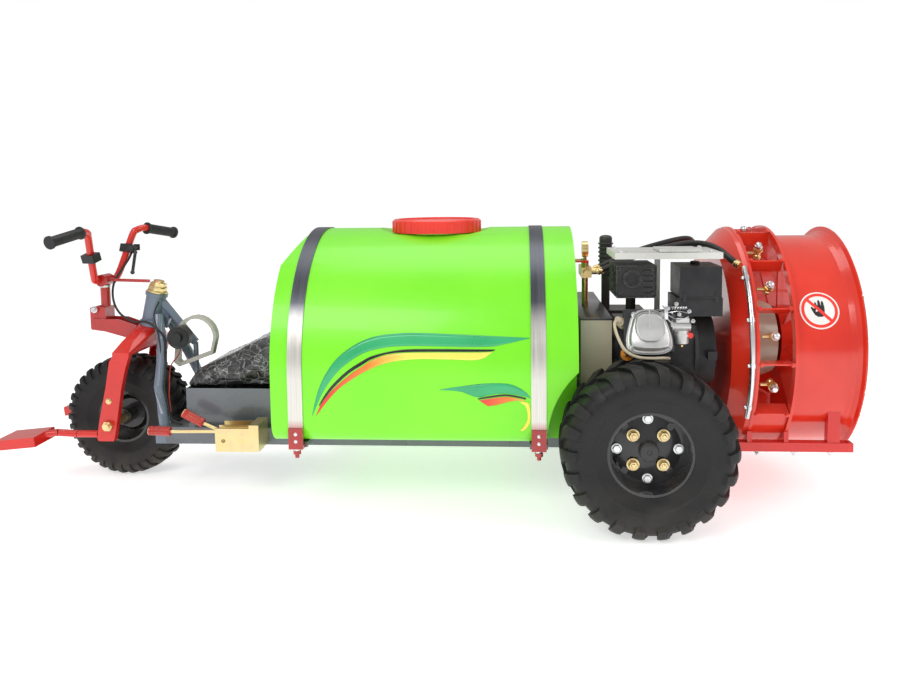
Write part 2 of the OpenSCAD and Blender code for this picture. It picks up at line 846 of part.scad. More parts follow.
module switch_pod() {
  color("black") at_axle() rotate_bar() {
    difference() {
      union() {
        translate([22, -73, 78]) rotate([17, 0, 0]) cube([46, 34, 26], center = true);
        translate([28, 78, 96]) rotate([-17, 0, 0]) cube([38, 36, 26], center = true);
      }
      rod([10, 54, 22], [34, 92, 138], bar_r + 0.3);
      rod([10, -54, 22], [34, -92, 138], bar_r + 0.3);
    }
    // Ears which hold the brake lever's pin
    for (y = [56, 86]) difference() {
      translate([44, y, 90]) cube([20, 6, 20]);
      cyl_y(y - 1, y + 7, 56, 100, 4 + fit);
    }
  }
}

module brake_lever() {
  color("black") at_axle() rotate_bar() {
    cyl_y(56, 92, 56, 100, 4);
    cyl_y(64, 84, 56, 100, 6.5);
    rod([56, 74, 100], [64, 70, 84], 6);
    rod([64, 70, 84], [60, 58, 20], 5);
    translate([64, 70, 84]) sphere(r = 6.5);
    translate([60, 58, 20]) sphere(r = 7);
  }
}

module foot_pegs() {
  color("red") at_axle() both_sides() {
    bent_tube([[-1633, -139, 162], [-1700, -142, 163], [-1752, -160, 172], [-1790, -176, 170]], 11);
    translate([-1838.8, -186, 160]) rotate([0, -6, 0]) cube([124, 110, 30], center = true);
  }
}

module gear_lever() {
  color("goldenrod") at_axle() {
    cyl_y(-281.5, -244, -1125, 212, 5.9);
    rod([-1125, -260, 212], [-1352, -260, 210], 5);
    rod([-1352, -260, 210], [-1412, -260, 212], 13);
  }
}

module clutch_lever() {
  color("goldenrod") at_axle() {
    cyl_y(-247, -199, -1184, 190, 5.9);
    rod([-1184, -226, 190], [-1266, -226, 226], 5);
    rod([-1266, -226, 226], [-1322, -226, 256], 13);
  }
}

module brake_cable_lower() {
  color("black") at_axle() swept_tube(cable_lower_path, cable_r, 8);
}

module brake_cable_upper() {
  color("black") at_axle() swept_tube(cable_upper_path, cable_r, 8);
}

// ---------- fan ----------

module shaft_bearings() {
  color("dimgray") at_axle() for (x = [-50, 226]) difference() {
    union() {
      cyl_x(x - 16, x + 16, 0, fan_z, 36);
      block(x - 16, x + 16, -50, 50, 386, 420);
      block(x - 14, x + 14, -12, 12, rail_top - 5, 386);
    }
    cyl_x(x - 17, x + 17, 0, fan_z, fan_shaft_r + fit);
    cyl_y(-73, 73, 0, rear_tyre_r, 80);
  }
}

module fan_front_shroud() {
  color("firebrick") at_axle() round_x(fan_z) polygon([
    [45, 246], [292, 246], [ring_r - 4, 288], [ring_r - 2, ring1_x], [ring_r, ring1_x],
    [ring_r, ring1_x + 8], [ring_r - 22, ring1_x + 8], [ring_r - 22, ring1_x + 5],
    [ring_r - 8, ring1_x + 4], [ring_r - 8, 290], [290, 249], [45, 249]
  ]);
}

module fan_duct() {
  color("red") at_axle() round_x(fan_z) polygon([
    [duct_r, ring2_x + 3], [ring_r + 3, ring2_x], [ring_r + 3, ring2_x + 8], [duct_r + 3, ring2_x + 8],
    [duct_r + 3, 556], [duct_r + 8, 570], [duct_r + 16, 580], [ring_r - 2, bell_x - 3],
    [ring_r - 2, bell_x], [duct_r + 14, bell_x], [duct_r + 5, 576], [duct_r, 558]
  ]);
}

module fan_vanes() {
  inner = ring_r - 42;
  closed_from = vane_angles[len(vane_angles) - 1];
  color("red") at_axle() {
    for (a = vane_angles) for (s = [-1, 1]) fan_spoke(s * a)
      block(ring1_x + 8.2, ring2_x - 0.2, -2, 2, inner, ring_r - 1);
    // Closed plate round the bottom
    fan_spoke(359.5 - closed_from) rotate([0, -90, 0]) rotate_extrude(angle = 359 - 2 * closed_from)
      translate([ring_r - 10, 0.2 - ring2_x]) square([4, ring2_x - ring1_x - 8.4]);
  }
}

module deflector_cone() {
  color("darkkhaki") at_axle() round_x(fan_z) polygon([
    [255, 252], [190, 300], [130, 360], [104, 430], [101, 430], [127, 359], [187, 298], [250, 252]
  ]);
}

module spray_manifold() {
  color("silver") at_axle() for (a = [118, -46]) fan_spoke(a) translate([286, 0, 0])
    rotate([0, -90, 0]) rotate_extrude(angle = 72, $fn = 96) translate([ring_r + 8, 0]) circle(r = 7, $fn = 24);
}

module nozzle() {
  translate([352, 0, 0]) {
    translate([0, 0, ring_r - 44]) cylinder(r = 8, h = 20);
    translate([0, 0, ring_r - 26]) cylinder(r = 11, h = 9, $fn = 6);
    translate([0, 0, ring_r - 17]) cylinder(r = 9, h = 10);
    translate([-30, 0, ring_r - 34]) rotate([0, 90, 0]) cylinder(r = 5, h = 30);
  }
}

module nozzles() {
  color("goldenrod") at_axle() {
    fan_spoke(0) nozzle();
    for (a = nozzle_angles) for (s = [-1, 1]) fan_spoke(s * a) nozzle();
  }
}

module fan_guard() {
  color("black") at_axle() {
    for (r = [60, 126, 192, 258, 324]) round_x(fan_z) translate([r, bell_x]) square([5, 5]);
    for (i = [0:5]) fan_spoke(i * 60) block(bell_x + 3, bell_x + 7, -2, 2, 24, 328);
    cyl_x(bell_x + 1, bell_x + 9, 0, fan_z, 28);
  }
}

module fan_base() {
  color("red") at_axle() {
    both_sides() {
      difference() {
        block(203, 584, base_y - 15, base_y + 15, 172, 197);
        cyl_z(171, 198, 570, base_y, 6.5);
      }
      difference() {
        block(515, 548, base_y - 12, base_y + 12, 197, 290);
        cyl_x(500, 560, 0, fan_z, duct_r + 3.2);
      }
      for (x = [ring1_x - 2, ring2_x - 2]) difference() {
        block(x, x + 12, base_y - 12, base_y + 12, 197, 228);
        cyl_x(x - 1, x + 13, 0, fan_z, ring_r + 3.4);
      }
    }
    block(203, 243, -base_y + 14, base_y - 14, 172, 197);
  }
}

main_rails();
crossmembers();
neck_legs();
head_tube();
guard_hoop();
horn();
seat_box();
seat_cushion();
battery();
lever_gate();
tank();
tank_straps();
strap_bolts();
strainer_basket();
engine_block();
rocker_cover();
muffler();
air_filter();
carburettor();
recoil_starter();
engine_top_plate();
pump_body();
distributor();
belt_guard();
transaxle();
fan_front_shroud();
fan_duct();
fan_vanes();
deflector_cone();
spray_manifold();
nozzles();
fan_guard();
fan_base();
shaft_bearings();
hoses();
belts();
brake_cable_lower();
fork_crown();
fork_legs();
bar_bracket();
handlebar();
grips();
foot_pegs();
front_axle();
switch_pod();
brake_cable_upper();
brake_lever();
front_tyre();
front_rim();
rear_tyre_left();
rear_rim_left();
rear_tyre_right();
rear_rim_right();
fan_impeller();
crank_pulley();
pump_pulley();
gear_lever();
clutch_lever();
tank_lid();
valve_handle();
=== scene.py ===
# %% [markdown]
# # A three-wheeled ride-on orchard sprayer
#
# This lesson dresses a finished CAD model. The hard pieces, such as the frame, pump and pulleys,
# come from the CAD and get bevels and materials here. The soft, rounded and finely detailed pieces,
# such as the seat, tyres, tank and hoses, are built new, because a renderer shows things that CAD
# leaves out.

# %% Load the fixed frame
import random
from math import cos, degrees, pi, radians, sin
import bmesh
import bpy
from mathutils import Matrix, Vector


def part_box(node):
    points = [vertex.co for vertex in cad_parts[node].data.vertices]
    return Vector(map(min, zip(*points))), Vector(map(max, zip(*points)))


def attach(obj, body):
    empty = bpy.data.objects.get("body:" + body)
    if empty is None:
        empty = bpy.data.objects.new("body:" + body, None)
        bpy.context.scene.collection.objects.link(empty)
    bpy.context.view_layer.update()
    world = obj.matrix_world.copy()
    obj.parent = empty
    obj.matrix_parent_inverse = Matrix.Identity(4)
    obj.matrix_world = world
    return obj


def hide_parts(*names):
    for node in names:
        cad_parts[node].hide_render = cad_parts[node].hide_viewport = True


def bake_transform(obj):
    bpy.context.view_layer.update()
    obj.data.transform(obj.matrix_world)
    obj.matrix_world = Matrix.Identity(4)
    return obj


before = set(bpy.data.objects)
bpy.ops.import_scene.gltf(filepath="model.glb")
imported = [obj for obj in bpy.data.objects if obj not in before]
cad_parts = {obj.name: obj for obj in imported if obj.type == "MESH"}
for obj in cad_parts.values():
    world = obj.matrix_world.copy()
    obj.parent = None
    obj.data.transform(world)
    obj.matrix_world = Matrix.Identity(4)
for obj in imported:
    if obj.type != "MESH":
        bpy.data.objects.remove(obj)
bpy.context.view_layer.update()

random.seed(7)

# %% [markdown]
# ## Where things are
#
# The CAD was drawn in millimetres from the point on the ground under the rear axle. A small
# function turns such a point into the frame's metres, so every length below reads like a workshop
# drawing.

# %% A point given in millimetres from the rear axle
rear_low, rear_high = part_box("rear_tyre_left")
axle_x = (rear_low[0] + rear_high[0]) / 2


def at(x, y, z):
    return Vector((axle_x + x / 1000, y / 1000, z / 1000))


print("rear axle at x =", round(axle_x, 4))

# %% [markdown]
# ## The camera
#
# The camera stands at chest height beside the machine, a little ahead of its middle, and looks
# slightly down. It is made from three directions, right, up and back, which fill the columns of its
# matrix. The lens stands for a normal view, and a small shift keeps the uprights upright while the
# machine sits low in the frame.

# %% Camera
yaw, tilt, roll = radians(3.8), radians(5.04), radians(0.65)
camera_place = (0.317, -2.4945, 0.9146)
ahead = Vector((-sin(yaw) * cos(tilt), cos(yaw) * cos(tilt), -sin(tilt)))
level_right = Vector((cos(yaw), sin(yaw), 0))
level_up = level_right.cross(ahead)
right = level_right * cos(roll) - level_up * sin(roll)
up = level_right * sin(roll) + level_up * cos(roll)
camera_data = bpy.data.cameras.new("camera")
camera = bpy.data.objects.new("camera", camera_data)
rows = [(right[i], up[i], -ahead[i], camera_place[i]) for i in range(3)]
camera.matrix_world = Matrix(rows + [(0, 0, 0, 1)])
camera_data.sensor_width = 36
camera_data.lens = 32.21
camera_data.shift_x = -0.016
camera_data.shift_y = -0.0903
bpy.context.collection.objects.link(camera)
bpy.context.scene.camera = camera
print("camera lens", camera_data.lens)

# %% [markdown]
# ## Mesh helpers
#
# Most parts of a machine are tubes, turned shapes, plates and bolts. Each helper below makes one of
# them as a mesh of its own. A ring of points is carried along, and neighbouring rings are joined
# with faces. That way gives clean quads, which bevel and shade well.

# %% Put a finished mesh in the scene
def piece(name, verts, faces, smooth=30):
    mesh = bpy.data.meshes.new(name)
    mesh.from_pydata([tuple(v) for v in verts], [], faces)
    mesh.validate()
    built = bmesh.new()
    built.from_mesh(mesh)
    bmesh.ops.remove_doubles(built, verts=built.verts, dist=1e-6)
    bmesh.ops.recalc_face_normals(built, faces=built.faces)
    built.to_mesh(mesh)
    built.free()
    mesh.shade_smooth()
    mesh.set_sharp_from_angle(angle=radians(smooth))
    obj = bpy.data.objects.new(name, mesh)
    bpy.context.collection.objects.link(obj)
    return obj


# %% Join rings of points with faces
def ring_faces(count, sides, loop=False, cap=True):
    faces = []
    for i in range(count if loop else count - 1):
        for k in range(sides):
            a, b = i * sides + k, i * sides + (k + 1) % sides
            c, d = ((i + 1) % count) * sides + (k + 1) % sides, ((i + 1) % count) * sides + k
            faces.append((a, b, c, d))
    if cap and not loop:
        faces.append(tuple(reversed(range(sides))))
        faces.append(tuple(range((count - 1) * sides, count * sides)))
    return faces


# %% Two directions at right angles to a line
def across(direction):
    d = direction.normalized()
    helper = Vector((0, 0, 1)) if abs(d.z) < 0.9 else Vector((1, 0, 0))
    u = d.cross(helper).normalized()
    return u, d.cross(u)


# %% A smooth curve through given points
def smooth_path(points, per_span=6):
    p = [points[0]] + list(points) + [points[-1]]
    out = []
    for i in range(1, len(p) - 2):
        for k in range(per_span):
            t = k / per_span
            a = 2 * p[i]
            b = (p[i + 1] - p[i - 1]) * t
            c = (2 * p[i - 1] - 5 * p[i] + 4 * p[i + 1] - p[i + 2]) * t * t
            d = (-p[i - 1] + 3 * p[i] - 3 * p[i + 1] + p[i + 2]) * t ** 3
            out.append((a + b + c + d) / 2)
    return out + [points[-1]]


def path_length(points):
    return sum((b - a).length for a, b in zip(points, points[1:]))


# %% A tube along a path
def tube(name, path, radius, sides=16):
    angles = [2 * pi * k / sides for k in range(sides)]
    verts = []
    u = None
    for i, point in enumerate(path):
        direction = (path[min(i + 1, len(path) - 1)] - path[max(i - 1, 0)]).normalized()
        if u is None:
            u, v = across(direction)
        u = (u - direction * u.dot(direction)).normalized()
        v = direction.cross(u)
        verts += [point + (u * cos(a) + v * sin(a)) * radius for a in angles]
    return piece(name, verts, ring_faces(len(path), sides))


# %% A turned shape: (distance along the axis, radius) pairs, in millimetres; hollow where the profile closes
def turned(name, centre, axis, profile, sides=48, smooth=30):
    u, v = across(Vector(axis))
    d = Vector(axis).normalized()
    hollow = profile[0] == profile[-1]
    angles = [2 * pi * k / sides for k in range(sides)]
    verts = []
    for along, r in profile[:-1] if hollow else profile:
        r = max(r, 0.01)
        verts += [centre + d * along / 1000 + (u * cos(a) + v * sin(a)) * r / 1000 for a in angles]
    return piece(name, verts, ring_faces(len(verts) // sides, sides, loop=hollow), smooth)


# %% Several meshes made one
def join(obj, others):
    if not others:
        return obj
    combined = bmesh.new()
    for o in [obj] + list(others):
        part = o.data.copy()
        part.transform(o.matrix_world)
        combined.from_mesh(part)
        bpy.data.meshes.remove(part)
    combined.to_mesh(obj.data)
    combined.free()
    for o in others:
        bpy.data.objects.remove(o)
    return obj


# %% A bolt head or nut with chamfered corners and a washer under it
def hex_head(name, centre, axis, across_corners, height, washer=True, stud=0):
    r = across_corners / 2
    u, v = across(Vector(axis))
    d = Vector(axis).normalized()
    rows = [(0, r), (height * 0.85, r), (height, r * 0.86)]
    verts = []
    for along, radius in rows:
        for k in range(12):
            corner = radius if k % 2 == 0 else radius * cos(pi / 6)
            angle = pi * k / 6
            verts.append(centre + (d * along + (u * cos(angle) + v * sin(angle)) * corner) / 1000)
    obj = piece(name, verts, ring_faces(len(rows), 12), 20)
    extra = []
    if washer:
        profile = [(-0.2, r * 1.25), (1.4, r * 1.25), (1.6, r * 1.2), (1.6, r)]
        extra.append(turned(name + "_washer", centre, axis, profile))
    if stud:
        profile = [(0, stud), (height + 4, stud), (height + 5, stud * 0.8)]
        extra.append(turned(name + "_stud", centre, axis, profile, 16))
    return join(obj, extra)


# %% A box with rounded edges, given by its corners in millimetres
def soft_box(name, low, high, edge=2.0, segments=2):
    a, b = at(*low), at(*high)
    built = bmesh.new()
    bmesh.ops.create_cube(built, size=1)
    for v in built.verts:
        v.co = Vector([(a[i] + b[i]) / 2 + v.co[i] * (b[i] - a[i]) for i in range(3)])
    bmesh.ops.bevel(built, geom=list(built.edges), offset=edge / 1000, segments=segments, profile=0.5,
                    affect="EDGES")
    mesh = bpy.data.meshes.new(name)
    built.to_mesh(mesh)
    built.free()
    mesh.shade_smooth()
    mesh.set_sharp_from_angle(angle=radians(35))
    obj = bpy.data.objects.new(name, mesh)
    bpy.context.collection.objects.link(obj)
    return obj


# %% Finish a piece: its material and its body
def finish_piece(obj, material, body):
    obj.data.materials.clear()
    obj.data.materials.append(material)
    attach(obj, body)
    return obj


def finish_set(parts, name, material, body):
    whole = join(parts[0], parts[1:])
    whole.name = name
    return finish_piece(whole, material, body)


print("helpers ready")

# %% [markdown]
# ## Floor and light
#
# A catalogue picture wants soft light from all round, one larger light high in front to shape the
# forms, and a pale floor that takes a faint shadow. The sky is white and even, so glossy paint
# mirrors a bright room.

# %% Floor
floor_mesh = bpy.data.meshes.new("floor")
floor_mesh.from_pydata([(-60, -6, 0), (60, -6, 0), (60, 90, 0), (-60, 90, 0)], [], [(0, 1, 2, 3)])
floor = bpy.data.objects.new("floor", floor_mesh)
bpy.context.collection.objects.link(floor)
floor.location.z = -0.0005
floor_paint = bpy.data.materials.new("floor_paint")
floor_paint.use_nodes = True
paint_inputs = floor_paint.node_tree.nodes["Principled BSDF"].inputs
paint_inputs["Base Color"].default_value = (0.93, 0.93, 0.93, 1)
paint_inputs["Roughness"].default_value = 0.7
paint_inputs["Emission Color"].default_value = (1, 1, 1, 1)
paint_inputs["Emission Strength"].default_value = 0.55
floor_mesh.materials.append(floor_paint)
print("floor", floor.dimensions[:])

# %% Sky and lamps
sky = bpy.data.worlds.new("studio_sky")
bpy.context.scene.world = sky
sky.use_nodes = True
sky_nodes, sky_links = sky.node_tree.nodes, sky.node_tree.links
room = sky_nodes["Background"]
room.inputs["Color"].default_value = (1, 1, 1, 1)
room.inputs["Strength"].default_value = 0.5
seen = sky_nodes.new("ShaderNodeLightPath")
backdrop = sky_nodes.new("ShaderNodeBackground")
backdrop.inputs["Color"].default_value = (1, 1, 1, 1)
pick = sky_nodes.new("ShaderNodeMixShader")
sky_links.new(seen.outputs["Is Camera Ray"], pick.inputs[0])
sky_links.new(room.outputs[0], pick.inputs[1])
sky_links.new(backdrop.outputs[0], pick.inputs[2])
sky_links.new(pick.outputs[0], sky_nodes["World Output"].inputs["Surface"])
bpy.context.scene.view_settings.view_transform = "Standard"


def soft_lamp(name, place, aim, size, power):
    lamp = bpy.data.lights.new(name, "AREA")
    lamp.shape = "RECTANGLE"
    lamp.size, lamp.size_y, lamp.energy = size[0], size[1], power
    obj = bpy.data.objects.new(name, lamp)
    obj.location = place
    obj.rotation_euler = (Vector(aim) - Vector(place)).to_track_quat("-Z", "Y").to_euler()
    bpy.context.collection.objects.link(obj)
    return obj


soft_lamp("front_lamp", (-1.4, -3.6, 3.2), (0, 0, 0.4), (2.6, 1.6), 72)
soft_lamp("side_lamp", (3.4, -1.6, 2.2), (0.3, 0, 0.4), (1.6, 1.6), 30)
soft_lamp("top_lamp", (0, 0.6, 4.2), (0, 0, 0.3), (3.0, 2.4), 48)
print("lamps ready")

# %% [markdown]
# ## Shared surface effects
#
# Real machines are never one flat colour. Paint is thinner and brighter on edges, castings are
# speckled, dust settles on what faces up, and strip steel shows its rolling marks. Each effect is a
# node group with named sockets, built once here and set differently in each material.

# %% Start a node group with named sockets
def effect_group(name, inputs, outputs):
    tree = bpy.data.node_groups.new(name, "ShaderNodeTree")
    for label, value in inputs:
        socket = tree.interface.new_socket(label, in_out="INPUT", socket_type="NodeSocketFloat")
        socket.default_value = value
    for label in outputs:
        tree.interface.new_socket(label, in_out="OUTPUT", socket_type="NodeSocketFloat")
    return tree, tree.nodes.new("NodeGroupInput"), tree.nodes.new("NodeGroupOutput")


def math_node(tree, kind, a, b=None, clamp=False):
    node = tree.nodes.new("ShaderNodeMath")
    node.operation, node.use_clamp = kind, clamp
    for socket, value in zip(node.inputs, (a, b)):
        if value is None:
            continue
        if isinstance(value, (int, float)):
            socket.default_value = value
        else:
            tree.links.new(value, socket)
    return node.outputs[0]


# %% Grain: a coarse and a fine noise, as in paint, castings and moulded plastic
def make_grain():
    tree, given, result = effect_group("grain", [("Scale", 60.0), ("Detail", 4.0)], ["Mottle", "Fine"])
    place = tree.nodes.new("ShaderNodeTexCoord")
    for label, factor in (("Mottle", 0.12), ("Fine", 4.0)):
        noise = tree.nodes.new("ShaderNodeTexNoise")
        tree.links.new(place.outputs["Object"], noise.inputs["Vector"])
        tree.links.new(math_node(tree, "MULTIPLY", given.outputs["Scale"], factor), noise.inputs["Scale"])
        tree.links.new(given.outputs["Detail"], noise.inputs["Detail"])
        tree.links.new(noise.outputs["Fac"], result.inputs[label])
    return tree


grain = make_grain()
print("group", grain.name)


# %% Edge wear: where the surface turns sharply, broken up by noise
def make_edge_wear():
    sockets = [("Width", 0.002), ("Amount", 0.5), ("Breakup", 90.0)]
    tree, given, result = effect_group("edge_wear", sockets, ["Mask"])
    rounded = tree.nodes.new("ShaderNodeBevel")
    rounded.samples = 3
    tree.links.new(given.outputs["Width"], rounded.inputs["Radius"])
    shape = tree.nodes.new("ShaderNodeNewGeometry")
    turn = tree.nodes.new("ShaderNodeVectorMath")
    turn.operation = "DOT_PRODUCT"
    tree.links.new(rounded.outputs["Normal"], turn.inputs[0])
    tree.links.new(shape.outputs["True Normal"], turn.inputs[1])
    edge_gain, patch_start, patch_gain = 5.0, 0.42, 6.0
    edge = math_node(tree, "SUBTRACT", 1.0, turn.outputs["Value"], True)
    edge = math_node(tree, "MULTIPLY", edge, edge_gain, True)
    place = tree.nodes.new("ShaderNodeTexCoord")
    noise = tree.nodes.new("ShaderNodeTexNoise")
    noise.inputs["Detail"].default_value = 5
    tree.links.new(place.outputs["Object"], noise.inputs["Vector"])
    tree.links.new(given.outputs["Breakup"], noise.inputs["Scale"])
    patchy = math_node(tree, "SUBTRACT", noise.outputs["Fac"], patch_start)
    patchy = math_node(tree, "MULTIPLY", patchy, patch_gain, True)
    worn = math_node(tree, "MULTIPLY", math_node(tree, "MULTIPLY", edge, patchy), given.outputs["Amount"],
                     True)
    tree.links.new(worn, result.inputs["Mask"])
    return tree


edge_wear = make_edge_wear()
print("group", edge_wear.name)


# %% Dust: settles on what faces up, and is splashed on what is near the ground
def make_dust():
    tree, given, result = effect_group("dust", [("Amount", 0.3), ("Splash Height", 0.16)], ["Mask"])
    shape = tree.nodes.new("ShaderNodeNewGeometry")
    split = tree.nodes.new("ShaderNodeSeparateXYZ")
    tree.links.new(shape.outputs["Normal"], split.inputs[0])
    facing_up = math_node(tree, "POWER", math_node(tree, "MAXIMUM", split.outputs["Z"], 0.0), 2.0)
    facing_share, splash_gain, patch_start, patch_gain = 0.6, 6.0, 0.35, 2.4
    place = tree.nodes.new("ShaderNodeTexCoord")
    where = tree.nodes.new("ShaderNodeSeparateXYZ")
    tree.links.new(place.outputs["Object"], where.inputs[0])
    low = math_node(tree, "SUBTRACT", given.outputs["Splash Height"], where.outputs["Z"])
    low = math_node(tree, "MULTIPLY", low, splash_gain, True)
    noise = tree.nodes.new("ShaderNodeTexNoise")
    noise.inputs["Scale"].default_value = 14
    noise.inputs["Detail"].default_value = 8
    tree.links.new(place.outputs["Object"], noise.inputs["Vector"])
    patchy = math_node(tree, "SUBTRACT", noise.outputs["Fac"], patch_start)
    patchy = math_node(tree, "MULTIPLY", patchy, patch_gain, True)
    both = math_node(tree, "ADD", math_node(tree, "MULTIPLY", facing_up, facing_share), low, True)
    settled = math_node(tree, "MULTIPLY", math_node(tree, "MULTIPLY", both, patchy),
                        given.outputs["Amount"], True)
    tree.links.new(settled, result.inputs["Mask"])
    return tree


dust = make_dust()
print("group", dust.name)


# %% Rolling marks: noise stretched along one axis of the object
def make_rolling_marks():
    sockets = [("Along X", 4.0), ("Along Y", 4.0), ("Along Z", 400.0)]
    tree, given, result = effect_group("rolling_marks", sockets, ["Marks"])
    place = tree.nodes.new("ShaderNodeTexCoord")
    pack = tree.nodes.new("ShaderNodeCombineXYZ")
    for i, label in enumerate(("Along X", "Along Y", "Along Z")):
        tree.links.new(given.outputs[label], pack.inputs[i])
    stretch = tree.nodes.new("ShaderNodeVectorMath")
    stretch.operation = "MULTIPLY"
    tree.links.new(place.outputs["Object"], stretch.inputs[0])
    tree.links.new(pack.outputs[0], stretch.inputs[1])
    noise = tree.nodes.new("ShaderNodeTexNoise")
    noise.inputs["Scale"].default_value = 1
    noise.inputs["Detail"].default_value = 6
    tree.links.new(stretch.outputs[0], noise.inputs["Vector"])
    tree.links.new(noise.outputs["Fac"], result.inputs["Marks"])
    return tree


rolling_marks = make_rolling_marks()
print("group", rolling_marks.name)

# %% [markdown]
# ## One recipe for hard finishes
#
# Paint, plate, castings and moulded plastic differ in a few numbers: how much the colour wanders,
# how rough the skin is, how far edges are worn and how much dust has settled. The recipe below
# wires the shared groups into a Principled shader, and each finish then gives its own numbers.

# %% Place a group, and mix two colours
def place_group(tree, group, **values):
    node = tree.nodes.new("ShaderNodeGroup")
    node.node_tree = group
    for label, value in values.items():
        node.inputs[label.replace("_", " ")].default_value = value
    return node


def mixed(tree, factor, a, b):
    node = tree.nodes.new("ShaderNodeMix")
    node.data_type = "RGBA"
    tree.links.new(factor, node.inputs[0])
    for socket, value in ((node.inputs[6], a), (node.inputs[7], b)):
        if isinstance(value, tuple):
            socket.default_value = (*value, 1)
        else:
            tree.links.new(value, socket)
    return node.outputs[2]


def ranged(tree, value, low, high, start=0.3, stop=0.7):
    node = tree.nodes.new("ShaderNodeMapRange")
    tree.links.new(value, node.inputs["Value"])
    node.inputs["From Min"].default_value, node.inputs["From Max"].default_value = start, stop
    node.inputs["To Min"].default_value, node.inputs["To Max"].default_value = low, high
    return node.outputs[0]


# %% The recipe
soil = (0.36, 0.29, 0.20)


def hard_finish(name, colour, shade, rough=(0.3, 0.45), metal=0.0, coat=0.0, scale=60.0, bump=0.1,
                wear=0.4, worn=(0.45, 0.44, 0.42), wear_width=0.0018, dusty=0.25):
    made = bpy.data.materials.new(name)
    made.use_nodes = True
    tree = made.node_tree
    shader = tree.nodes["Principled BSDF"]
    shader.inputs["Metallic"].default_value = metal
    shader.inputs["Coat Weight"].default_value = coat
    shader.inputs["Coat Roughness"].default_value = 0.08
    shader.inputs["Specular IOR Level"].default_value = 0.3 if max(shade) < 0.1 else 0.5
    noise = place_group(tree, grain, Scale=scale)
    base = mixed(tree, ranged(tree, noise.outputs["Mottle"], 0.0, 1.0), colour, shade)
    if wear:
        edges = place_group(tree, edge_wear, Width=wear_width, Amount=wear)
        base = mixed(tree, edges.outputs["Mask"], base, worn)
    if dusty:
        settled = place_group(tree, dust, Amount=dusty)
        base = mixed(tree, settled.outputs["Mask"], base, soil)
    tree.links.new(base, shader.inputs["Base Color"])
    tree.links.new(ranged(tree, noise.outputs["Mottle"], rough[0], rough[1]), shader.inputs["Roughness"])
    relief = tree.nodes.new("ShaderNodeBump")
    relief.inputs["Strength"].default_value = bump
    relief.inputs["Distance"].default_value = 0.0006
    tree.links.new(noise.outputs["Fine"], relief.inputs["Height"])
    tree.links.new(relief.outputs["Normal"], shader.inputs["Normal"])
    return made


print("recipe ready")

# %% [markdown]
# ## The finishes
#
# The frame is dark grey gloss paint, the front end and the fan are red, and the tank is bright
# green polyethylene. Small parts are yellow zinc plate, brass and black plastic. Zinc plate gets
# its rainbow from three tints that wander into each other, so it has its own step after the plain
# list.

# %% Painted metal
frame_grey = hard_finish("frame_grey", (0.105, 0.115, 0.135), (0.145, 0.155, 0.18), (0.22, 0.34), coat=0.5,
                         wear=0.35)
neck_slate = hard_finish("neck_slate", (0.13, 0.165, 0.22), (0.17, 0.205, 0.27), (0.25, 0.38), coat=0.4,
                         wear=0.4)
strip_beige = hard_finish("strip_beige", (0.40, 0.385, 0.33), (0.50, 0.48, 0.42), (0.3, 0.45), coat=0.2,
                          wear=0.3)
gloss_red = hard_finish("gloss_red", (0.60, 0.012, 0.008), (0.70, 0.02, 0.012), (0.22, 0.32), coat=0.35,
                        wear=0.25, worn=(0.55, 0.2, 0.15))
fan_red = hard_finish("fan_red", (0.66, 0.024, 0.010), (0.80, 0.04, 0.016), (0.18, 0.28), coat=0.45,
                      scale=40, bump=0.06, wear=0.2, worn=(0.85, 0.25, 0.15), dusty=0.12)
dark_red = hard_finish("dark_red", (0.36, 0.012, 0.012), (0.5, 0.02, 0.018), (0.2, 0.32), coat=0.5, wear=0.35)
guard_tan = hard_finish("guard_tan", (0.46, 0.40, 0.29), (0.54, 0.48, 0.36), (0.3, 0.42), coat=0.3, wear=0.3)
pale_sheet = hard_finish("pale_sheet", (0.62, 0.62, 0.58), (0.72, 0.72, 0.68), (0.25, 0.4), metal=0.35,
                         wear=0.2)
muffler_black = hard_finish("muffler_black", (0.018, 0.018, 0.019), (0.035, 0.034, 0.033), (0.42, 0.6),
                            scale=110, bump=0.3)
black_steel = hard_finish("black_steel", (0.02, 0.02, 0.022), (0.035, 0.035, 0.038), (0.25, 0.4), coat=0.3,
                          wear=0.3)
rim_black = hard_finish("rim_black", (0.02, 0.02, 0.022), (0.04, 0.04, 0.042), (0.22, 0.36), coat=0.5,
                        wear=0.35, dusty=0.4)
print("paints ready")

# %% Bare metal and castings
cast_alloy = hard_finish("cast_alloy", (0.60, 0.60, 0.59), (0.72, 0.72, 0.71), (0.34, 0.5), metal=0.85,
                         scale=150, bump=0.35, wear=0.5, worn=(0.85, 0.85, 0.85))
engine_black = hard_finish("engine_black", (0.03, 0.03, 0.032), (0.055, 0.055, 0.058), (0.36, 0.52),
                           scale=120, bump=0.3)
cast_grey = hard_finish("cast_grey", (0.16, 0.16, 0.165), (0.23, 0.23, 0.235), (0.4, 0.55), metal=0.4,
                        scale=120, bump=0.35)
turned_brass = hard_finish("turned_brass", (0.72, 0.50, 0.20), (0.82, 0.62, 0.30), (0.2, 0.34), metal=1.0,
                           scale=70, wear=0.4, worn=(0.95, 0.82, 0.5), dusty=0.1)
bright_zinc = hard_finish("bright_zinc", (0.66, 0.67, 0.69), (0.8, 0.8, 0.8), (0.22, 0.36), metal=1.0,
                          scale=80, dusty=0.1)
print("metals ready")

